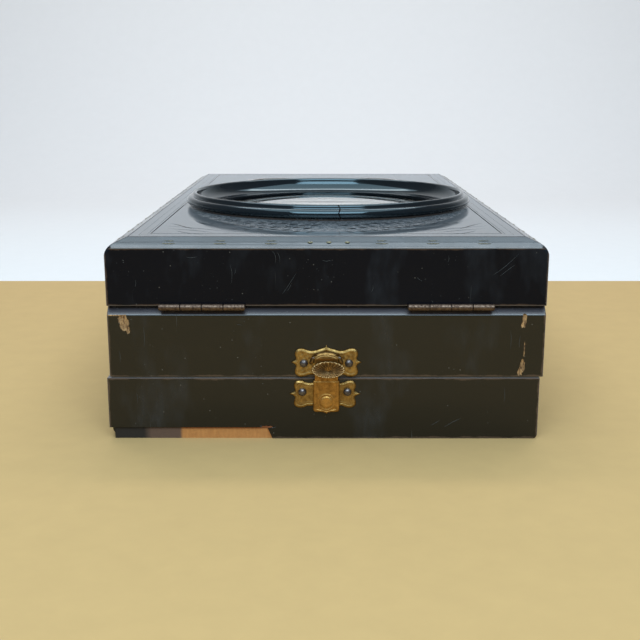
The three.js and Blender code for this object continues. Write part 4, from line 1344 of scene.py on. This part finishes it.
def plate_outline(half, top, bottom, peak, tip):
    """The lobed outline of a pressed plate in millimetres about its middle: two round lobes and a
    point at each end, and a low peak in the middle of its top."""
    start = (0, top + peak)
    points = [start]
    if peak > 0:
        points += bezier(start, (0.5, top + 0.1), (2, top + 0.2), (4.2, top - 0.5), 6)
    else:
        points += [(4.2, top - 0.2)]
    points += bezier(points[-1], (6.2, top - 1.3), (8.6, top - 1.7), (10.6, top - 0.5), 6)
    shoulder = half - 1.7
    points += bezier(points[-1], (12.4, top + 0.6), (half + 0.4, top + 0.6), (shoulder, 2.6), 10)
    points += bezier(points[-1], (shoulder - 0.5, 1.7), (shoulder + 0.3, 1.0), (half + tip, 0), 6)
    points += bezier(points[-1], (shoulder + 0.3, -1.0), (shoulder - 0.5, -1.7), (shoulder, -2.6), 6)
    lobe = ((half + 0.6, bottom - 0.5), (12.8, bottom - 0.9), (10.4, bottom + 0.1))
    points += bezier(points[-1], *lobe, 10)
    points += bezier(points[-1], (9.4, bottom + 0.7), (8.6, bottom + 0.8), (7.4, bottom + 0.7), 5)
    mirrored = [(-x, z) for x, z in reversed(points) if x > 1e-6]
    return points + mirrored


def tongue_outline(half, top, foot):
    """The hasp's tongue in millimetres: straight sides, round corners and a cusp at the foot."""
    right = [(half, top), (half, foot + 2.4)]
    corner = ((half, foot + 1.4), (half - 0.6, foot + 1.15), (half - 1.6, foot + 1.1))
    right += bezier(right[-1], *corner, 6)
    right += bezier(right[-1], (3.2, foot + 0.9), (1.6, foot + 1.2), (0, foot), 8)
    return right + [(-x, z) for x, z in reversed(right[:-1])]


def distance_to(outline, points):
    """Distance of each point from a closed outline."""
    a = np.array(outline)
    b = np.roll(a, -1, axis=0)
    d = b - a
    span = (d * d).sum(1)
    rel = points[:, None, :] - a[None]
    t = np.clip((rel * d[None]).sum(2) / span[None], 0, 1)
    gap = rel - t[:, :, None] * d[None]
    return np.sqrt((gap * gap).sum(2)).min(1)


def pressed_sheet(bm, outline, relief, back, thick, step, origin):
    """Adds a pressed plate in the X-Z plane. relief gives the height over the sheet's own thickness
    at each point from its place and its distance to the outline, in millimetres."""
    edge = np.array(outline)
    low, high = edge.min(0), edge.max(0)
    grid = []
    row = 0
    z = low[1] + step / 2
    while z < high[1]:
        x = low[0] + step / 2 + (step / 2 if row % 2 else 0)
        while x < high[0]:
            grid.append((x, z))
            x += step
        z += step * 0.87
        row += 1
    grid = np.array(grid)
    grid = grid[distance_to(outline, grid) > step * 0.45]
    flat = [Vector(p) for p in outline] + [Vector(p) for p in grid]
    ring = [list(range(len(outline)))]
    verts, _, faces, _, _, _ = delaunay_2d_cdt(flat, [], ring, 1, 1e-6)
    spots = np.array([(v.x, v.y) for v in verts])
    gaps = distance_to(outline, spots)
    heights = relief(spots[:, 0], spots[:, 1], gaps)
    ox, oz = origin
    front, rear = [], []
    for (x, z), h in zip(spots, heights):
        front.append(bm.verts.new((ox + x * MM, back - (thick + h) * MM, oz + z * MM)))
        rear.append(bm.verts.new((ox + x * MM, back, oz + z * MM)))
    edges = {}
    for face in faces:
        corners = [front[i] for i in face]
        normal = (corners[1].co - corners[0].co).cross(corners[2].co - corners[0].co)
        order = list(face) if normal.y < 0 else list(face)[::-1]
        bm.faces.new([front[i] for i in order]).smooth = True
        bm.faces.new([rear[i] for i in order[::-1]])
        for i, j in zip(order, order[1:] + order[:1]):
            edges[(i, j)] = True
    for i, j in edges:
        if (j, i) not in edges:
            bm.faces.new((front[j], front[i], rear[i], rear[j]))


def bump_line(distance, at, width, height):
    """A raised line of half-round section at a distance from the edge."""
    return height * np.exp(-(((distance - at) / width) ** 2))


def plate_relief(x, z, gap):
    """Rounded rim, a raised line inside it and a shallow field with embossed scrolls."""
    rim = -0.45 * np.exp(-((gap / 0.35) ** 2))
    line = bump_line(gap, 1.3, 0.28, 0.22)
    scroll = 0.14 * np.sin(1.9 * np.abs(x) + 0.7 * z) * np.cos(1.5 * z - 0.4 * np.abs(x))
    return rim + line + scroll * np.clip(gap - 1.8, 0, 1)


def wing_relief(x, z, gap):
    """The lower plate: as the upper one, with ribs that follow its lower lobes."""
    rim = -0.45 * np.exp(-((gap / 0.35) ** 2))
    line = bump_line(gap, 1.2, 0.28, 0.25) + bump_line(gap, 2.3, 0.25, 0.14)
    return rim + line


def tongue_relief(x, z, gap):
    """The hasp's tongue: a rim, a round boss in a ring over the stud, and a chevron below it."""
    rim = -0.4 * np.exp(-((gap / 0.3) ** 2)) + bump_line(gap, 1.0, 0.25, 0.16)
    r = np.hypot(x, z + 2.2)
    boss = 0.45 / (1 + np.exp((r - 3.0) / 0.18))
    ring = bump_line(r, 4.1, 0.3, 0.28)
    chevron = bump_line(z + 7.6 - 0.25 * np.abs(x), 0, 0.25, 0.2) * (np.abs(x) < 5)
    return rim + boss + ring + chevron


def make_plates():
    """The catch's two pressed plates."""
    step = bpy.context.scene.viewer_brass.sheet_step / MM
    plans = (
        ("catch_plate", "platform", plate_outline(17.6, 7.3, -7.5, 2.0, 0.7), plate_relief, 7.7),
        ("keeper_plate", "card_box", plate_outline(17.4, 7.2, -7.3, -0.2, 1.2), wing_relief, 7.6),
    )
    for node, body, outline, relief, drop in plans:
        low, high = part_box(node)
        centre = (low + high) / 2
        base_z = low.z + drop * MM
        bm = bmesh.new()
        back = high.y if node == "catch_plate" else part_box("box_front")[0].y - 0.05 * MM
        pressed_sheet(bm, outline, relief, back, 0.8, step, (centre.x, base_z))
        if node == "keeper_plate":
            stud = [(0, 0), (1.9, 0), (1.5, 0.35), (0.8, 0.5), (0, 0.55)]
            stud = [(r * MM, h * MM) for r, h in stud]
            turn(bm, stud, (centre.x, back - 0.85 * MM, STUD_HEIGHT), 24, "-Y")
        piece = new_piece(f"{node}_pressed", bm, [MATERIALS["brass"]])
        finish_piece(piece, body, [node])


def make_cover():
    """The arched cover over the hasp's pivot, a smooth pressed dome open below."""
    low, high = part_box("catch_cover")
    arch = [(-8.8, -3.4)]
    arch += bezier((-8.8, -3.4), (-8.6, 0.6), (-5.4, 3.2), (0, 3.3), 12)
    arch += bezier((0, 3.3), (5.4, 3.2), (8.6, 0.6), (8.8, -3.4), 12)

    def dome(x, z, gap):
        rise = np.clip(gap / 2.4, 0, 1)
        return 2.2 * np.sqrt(np.clip(1 - (1 - rise) ** 2, 0, 1)) - bump_line(gap, 1.7, 0.22, 0.2)

    step = bpy.context.scene.viewer_brass.sheet_step / MM
    bm = bmesh.new()
    centre = (low + high) / 2
    pressed_sheet(bm, arch, dome, high.y, 0.5, step, (centre.x, centre.z))
    piece = new_piece("catch_cover_domed", bm, [MATERIALS["cover_brass"]])
    # Room behind the dome for the hasp's eye, and a mouth below for its neck.
    side, foot = 6.7 * MM, low.z - 2 * MM
    room = block_piece("room", (-side, high.y - 2.2 * MM, foot), (side, high.y + MM, low.z + 4.6 * MM))
    mouth = block_piece("mouth", (-side, low.y - MM, foot), (side, high.y, low.z + 2.8 * MM))
    carve(piece, room, mouth)
    finish_piece(piece, "platform", ["catch_cover"])


def make_shell(bm, centre):
    """Adds the hasp's grip: an oval shell with flutes that spread from a point low in its bowl, a
    notched rim and a rounded back."""
    brass = bpy.context.scene.viewer_brass
    half_w, half_h = brass.shell_width / 2, brass.shell_height / 2
    spokes, flutes = 132, 22
    focus = Vector((0, 0, -half_h * 0.35))
    tilt = Matrix.Rotation(math.radians(-14), 3, "X")
    rings = []
    bowl = [(0.04, 1.9), (0.2, 1.75), (0.4, 1.4), (0.6, 0.95), (0.78, 0.45), (0.9, 0.1)]
    rim = [(0.965, -0.2), (1.0, 0.0), (1.01, 0.55)]
    rear = [(0.96, 1.3), (0.82, 2.1), (0.6, 2.8), (0.36, 3.2), (0.04, 3.4)]
    for part, rows in (("bowl", bowl), ("rim", rim), ("rear", rear)):
        for t, depth in rows:
            ring = []
            for i in range(spokes):
                a = 2 * math.pi * i / spokes
                edge = Vector((half_w * math.cos(a), 0, half_h * math.sin(a)))
                wave = math.cos(flutes * a)
                grow = 0.022 * wave if part == "rim" and math.sin(a) > -0.35 else 0.0
                flute = 0.42 * wave * min(t * 1.3, 1) if part == "bowl" else 0.0
                p = focus + (edge - focus) * (t + grow)
                local = Vector((p.x, (depth + flute) * MM, p.z))
                ring.append(bm.verts.new(centre + tilt @ local))
            rings.append(ring)
    for face in skin(bm, rings):
        face.smooth = True
    bm.faces.new(rings[0][::-1])
    bm.faces.new(rings[-1])


def make_hasp():
    """The hasp: its neck and eye, the embossed tongue and the shell grip."""
    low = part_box("hasp")[0]
    step = bpy.context.scene.viewer_brass.sheet_step / MM
    back = HASP_AXIS.y + 0.25 * MM
    middle = 23.3 * MM
    outline = tongue_outline(6.8, 9.4, (low.z - middle) / MM)
    bm = bmesh.new()
    pressed_sheet(bm, outline, tongue_relief, back, 1.0, step, (0, middle))
    tongue = new_piece("hasp_tongue", bm, [MATERIALS["hasp_brass"]])
    # Room for the lower plate's stud.
    r, z0, z1 = 2.8 * MM, -0.2 * MM, 0.5 * MM
    bm = bmesh.new()
    turn(bm, [(0, z0), (r, z0), (r, z1), (0, z1)], (0, back, STUD_HEIGHT), 32, "-Y")
    carve(tongue, new_piece("stud_room", bm, []))
    finish_piece(tongue, "hasp", ["hasp"])

    bm = bmesh.new()
    block(bm, (-6 * MM, back - 0.9 * MM, middle + 8.6 * MM), (6 * MM, back - 0.05 * MM, HASP_AXIS.z))
    ease(bm, 0.15 * MM, 2)
    face = back - 0.5 * MM
    stem = [(x * MM, z * MM) for x, z in ((-4, 38.0), (4, 38.0), (3.4, 41), (-3.4, 41))]
    capped(bm, [[bm.verts.new((x, y, z)) for x, z in stem] for y in (face, face - 4.2 * MM)])
    eye = [(r * MM, x * MM) for r, x in ((0.78, -6), (1.15, -6), (1.15, 6), (0.78, 6))]
    turn(bm, eye, (0, HASP_AXIS.y, HASP_AXIS.z), 24, "X")
    finish_piece(new_piece("hasp_grip", bm, [MATERIALS["hasp_brass"]]), "hasp")

    bm = bmesh.new()
    make_shell(bm, Vector((0.9 * MM, low.y + 1.3 * MM, 40 * MM)))
    finish_piece(new_piece("hasp_shell", bm, [MATERIALS["shell_brass"]]), "hasp")


def make_nails():
    """The four nails of the catch: two in each plate."""
    tree = nail_tree()
    for kind, body in (("catch", "platform"), ("keeper", "card_box")):
        bm = bmesh.new()
        nodes = [f"{kind}_pin_{side}" for side, _ in SIDES]
        for node in nodes:
            low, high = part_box(node)
            centre = (low + high) / 2
            bm.verts.new((centre.x, high.y, centre.z))
        piece = new_piece(f"{kind}_nails", bm, [MATERIALS["steel"]])
        run_nodes(piece, tree, {"Radius": 2.15 * MM, "Height": 1.6 * MM})
        finish_piece(piece, body, nodes)


# ---- Inside ---------------------------------------------------------------------------------------


def make_inner_pieces():
    """Deck, rails, easel and the other pieces inside, with their edges eased and finished."""
    body_of = {n: b for b, nodes in frame["record"]["behaviour"]["bodies"].items() for n in nodes}
    slot_of = {s["node"]: s["material_slot"] for s in frame["record"]["subparts"]}
    finishes = {
        "inner_wood": MATERIALS["inner"],
        "brass": MATERIALS["plain_brass"],
        "ebonised_wood": MATERIALS["lid"],
        "steel": MATERIALS["steel"],
    }
    nodes = "box_floor deck_board lens_keeper_ring stereo_septum carriage carriage_knob".split()
    nodes += "easel_pin easel_leaf photo_ledge card_slide stereo_card_ledge hasp_pin".split()
    for stem in ("carriage_rail", "quadrant_guide", "quadrant_stay", "slide_guide"):
        nodes += [f"{stem}_{side}" for side, _ in SIDES]
    fine = {"hasp_pin": 0.1, "easel_pin": 0.15, "lens_keeper_ring": 0.3, "carriage_knob": 0.3}
    for node in nodes:
        width = fine.get(node, 0.4) * MM
        piece = softened_copy(node, width, finishes[slot_of[node]])
        finish_piece(piece, body_of[node], [node])


# ---- Stage ----------------------------------------------------------------------------------------


def make_stage():
    """Floor, backdrop, lights and camera."""
    stage = bpy.context.scene.viewer_stage
    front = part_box("platform_front")[0].y
    behind = front + 440 * MM
    bm = bmesh.new()
    reach = 2.6
    corners = ((-reach, -reach), (reach, -reach), (reach, behind), (-reach, behind))
    bm.faces.new([bm.verts.new((x, y, 0)) for x, y in corners])
    floor = new_piece("floor", bm, [stage_material("plain_floor", stage.floor, 0.06)])
    # The backdrop rises from just under the floor in one sweep.
    sweep = [(behind, 0.0), *arc((0.9, 0.5), 0.5, -90, 0, 10), (1.4, 2.4)]
    bm = bmesh.new()
    rows = [[bm.verts.new((x, y, z - 0.2 * MM)) for x in (-reach, reach)] for y, z in sweep]
    for a, b in zip(rows, rows[1:]):
        bm.faces.new((a[0], a[1], b[1], b[0])).smooth = True
    wall = new_piece("backdrop", bm, [stage_material("plain_wall", stage.wall, 0.02)])

    world = bpy.context.scene.world or bpy.data.worlds.new("studio")
    bpy.context.scene.world = world
    world.use_nodes = True
    background = world.node_tree.nodes["Background"]
    background.inputs["Color"].default_value = linear("d4d8de")
    background.inputs["Strength"].default_value = 0.22
    lights = (
        # name, place, aim, width, height, watts, colour
        ("ceiling", (0.0, -0.12, 1.2), (0, -0.12, 0), 1.7, 1.6, 14.2, "e0f2fa"),
        ("window", (0.0, -1.15, 0.95), (0, -0.1, 0.1), 1.3, 0.75, 19, "cbe4f2"),
        ("wall_wash", (0.0, 0.62, 1.5), (0, 1.3, 0.35), 1.8, 0.4, 11, "fdf4f0"),
    )
    for name, place, aim, wide, tall, watts, code in lights:
        data = bpy.data.lights.new(name, "AREA")
        data.shape = "RECTANGLE"
        data.size, data.size_y, data.energy = wide, tall, watts
        data.color = linear(code)[:3]
        lamp = bpy.data.objects.new(name, data)
        lamp.location = place
        lamp.rotation_euler = (Vector(aim) - Vector(place)).to_track_quat("-Z", "Y").to_euler()
        bpy.context.scene.collection.objects.link(lamp)

    data = bpy.data.cameras.new("camera")
    data.sensor_width = 36
    data.lens = 55.7
    data.clip_start = 0.01
    camera = bpy.data.objects.new("camera", data)
    camera.location = (-3.3 * MM, front - stage.camera_distance, stage.camera_height)
    camera.rotation_euler = (math.radians(90 - 13.13), 0, 0)
    bpy.context.scene.collection.objects.link(camera)
    bpy.context.scene.camera = camera
    bpy.context.scene.view_settings.view_transform = "Standard"


# ---- Operators, panel and registration ------------------------------------------------------------


class VIEWER_OT_stage(bpy.types.Operator):
    """Makes the floor, backdrop, lights and camera."""

    bl_idname = "viewer.stage"
    bl_label = "Stage"

    def execute(self, context):
        make_stage()
        return {"FINISHED"}


class VIEWER_OT_materials(bpy.types.Operator):
    """Makes every finish."""

    bl_idname = "viewer.materials"
    bl_label = "Finishes"

    def execute(self, context):
        make_materials()
        return {"FINISHED"}


class VIEWER_OT_card_box(bpy.types.Operator):
    """Makes the bottom section."""

    bl_idname = "viewer.card_box"
    bl_label = "Card box"

    def execute(self, context):
        make_card_box()
        return {"FINISHED"}


class VIEWER_OT_platform(bpy.types.Operator):
    """Makes the middle section."""

    bl_idname = "viewer.platform"
    bl_label = "Platform"

    def execute(self, context):
        make_platform()
        return {"FINISHED"}


class VIEWER_OT_lid(bpy.types.Operator):
    """Makes the top section and its border motifs."""

    bl_idname = "viewer.lid"
    bl_label = "Lens lid"

    def execute(self, context):
        make_lid()
        make_border_motifs()
        return {"FINISHED"}


class VIEWER_OT_ring(bpy.types.Operator):
    """Makes the turned ring."""

    bl_idname = "viewer.ring"
    bl_label = "Lens ring"

    def execute(self, context):
        make_ring()
        return {"FINISHED"}


class VIEWER_OT_lenses(bpy.types.Operator):
    """Makes the lenses and the stereo cells."""

    bl_idname = "viewer.lenses"
    bl_label = "Lenses and cells"

    def execute(self, context):
        make_lenses()
        make_cells()
        return {"FINISHED"}


class VIEWER_OT_hinges(bpy.types.Operator):
    """Makes the hinges and their screws."""

    bl_idname = "viewer.hinges"
    bl_label = "Hinges"

    def execute(self, context):
        make_hinges()
        make_screws()
        return {"FINISHED"}


class VIEWER_OT_plates(bpy.types.Operator):
    """Makes the plates, cover and nails."""

    bl_idname = "viewer.plates"
    bl_label = "Catch plates"

    def execute(self, context):
        make_plates()
        make_cover()
        make_nails()
        return {"FINISHED"}


class VIEWER_OT_hasp(bpy.types.Operator):
    """Makes the hasp with its shell grip."""

    bl_idname = "viewer.hasp"
    bl_label = "Hasp"

    def execute(self, context):
        make_hasp()
        return {"FINISHED"}


class VIEWER_OT_inner(bpy.types.Operator):
    """Makes the deck, rails, easel and stays."""

    bl_idname = "viewer.inner"
    bl_label = "Inside"

    def execute(self, context):
        make_inner_pieces()
        return {"FINISHED"}


OPERATORS = (
    VIEWER_OT_stage,
    VIEWER_OT_materials,
    VIEWER_OT_card_box,
    VIEWER_OT_platform,
    VIEWER_OT_lid,
    VIEWER_OT_ring,
    VIEWER_OT_lenses,
    VIEWER_OT_hinges,
    VIEWER_OT_plates,
    VIEWER_OT_hasp,
    VIEWER_OT_inner,
)


class VIEWER_PT_pieces(bpy.types.Panel):
    """Lists the makers of the viewer's pieces."""

    bl_label = "Stereo Viewer"
    bl_idname = "VIEWER_PT_pieces"
    bl_space_type = "VIEW_3D"
    bl_region_type = "UI"
    bl_category = "Stereo Viewer"

    def draw(self, context):
        for operator in OPERATORS:
            self.layout.operator(operator.bl_idname)
        for group in ("viewer_wood", "viewer_brass", "viewer_stage"):
            settings = getattr(context.scene, group)
            for name in settings.__annotations__:
                self.layout.prop(settings, name)


SETTINGS = {
    "viewer_wood": ViewerWoodSettings,
    "viewer_brass": ViewerBrassSettings,
    "viewer_stage": ViewerStageSettings,
}
CLASSES = (*SETTINGS.values(), *OPERATORS, VIEWER_PT_pieces)


def register():
    for cls in CLASSES:
        bpy.utils.register_class(cls)
    for name, cls in SETTINGS.items():
        setattr(bpy.types.Scene, name, bpy.props.PointerProperty(type=cls))


def unregister():
    for name in SETTINGS:
        delattr(bpy.types.Scene, name)
    for cls in reversed(CLASSES):
        bpy.utils.unregister_class(cls)


def main():
    register()
    for operator in OPERATORS:
        getattr(bpy.ops.viewer, operator.bl_idname.split(".")[1])()


if __name__ == "__main__":
    main()
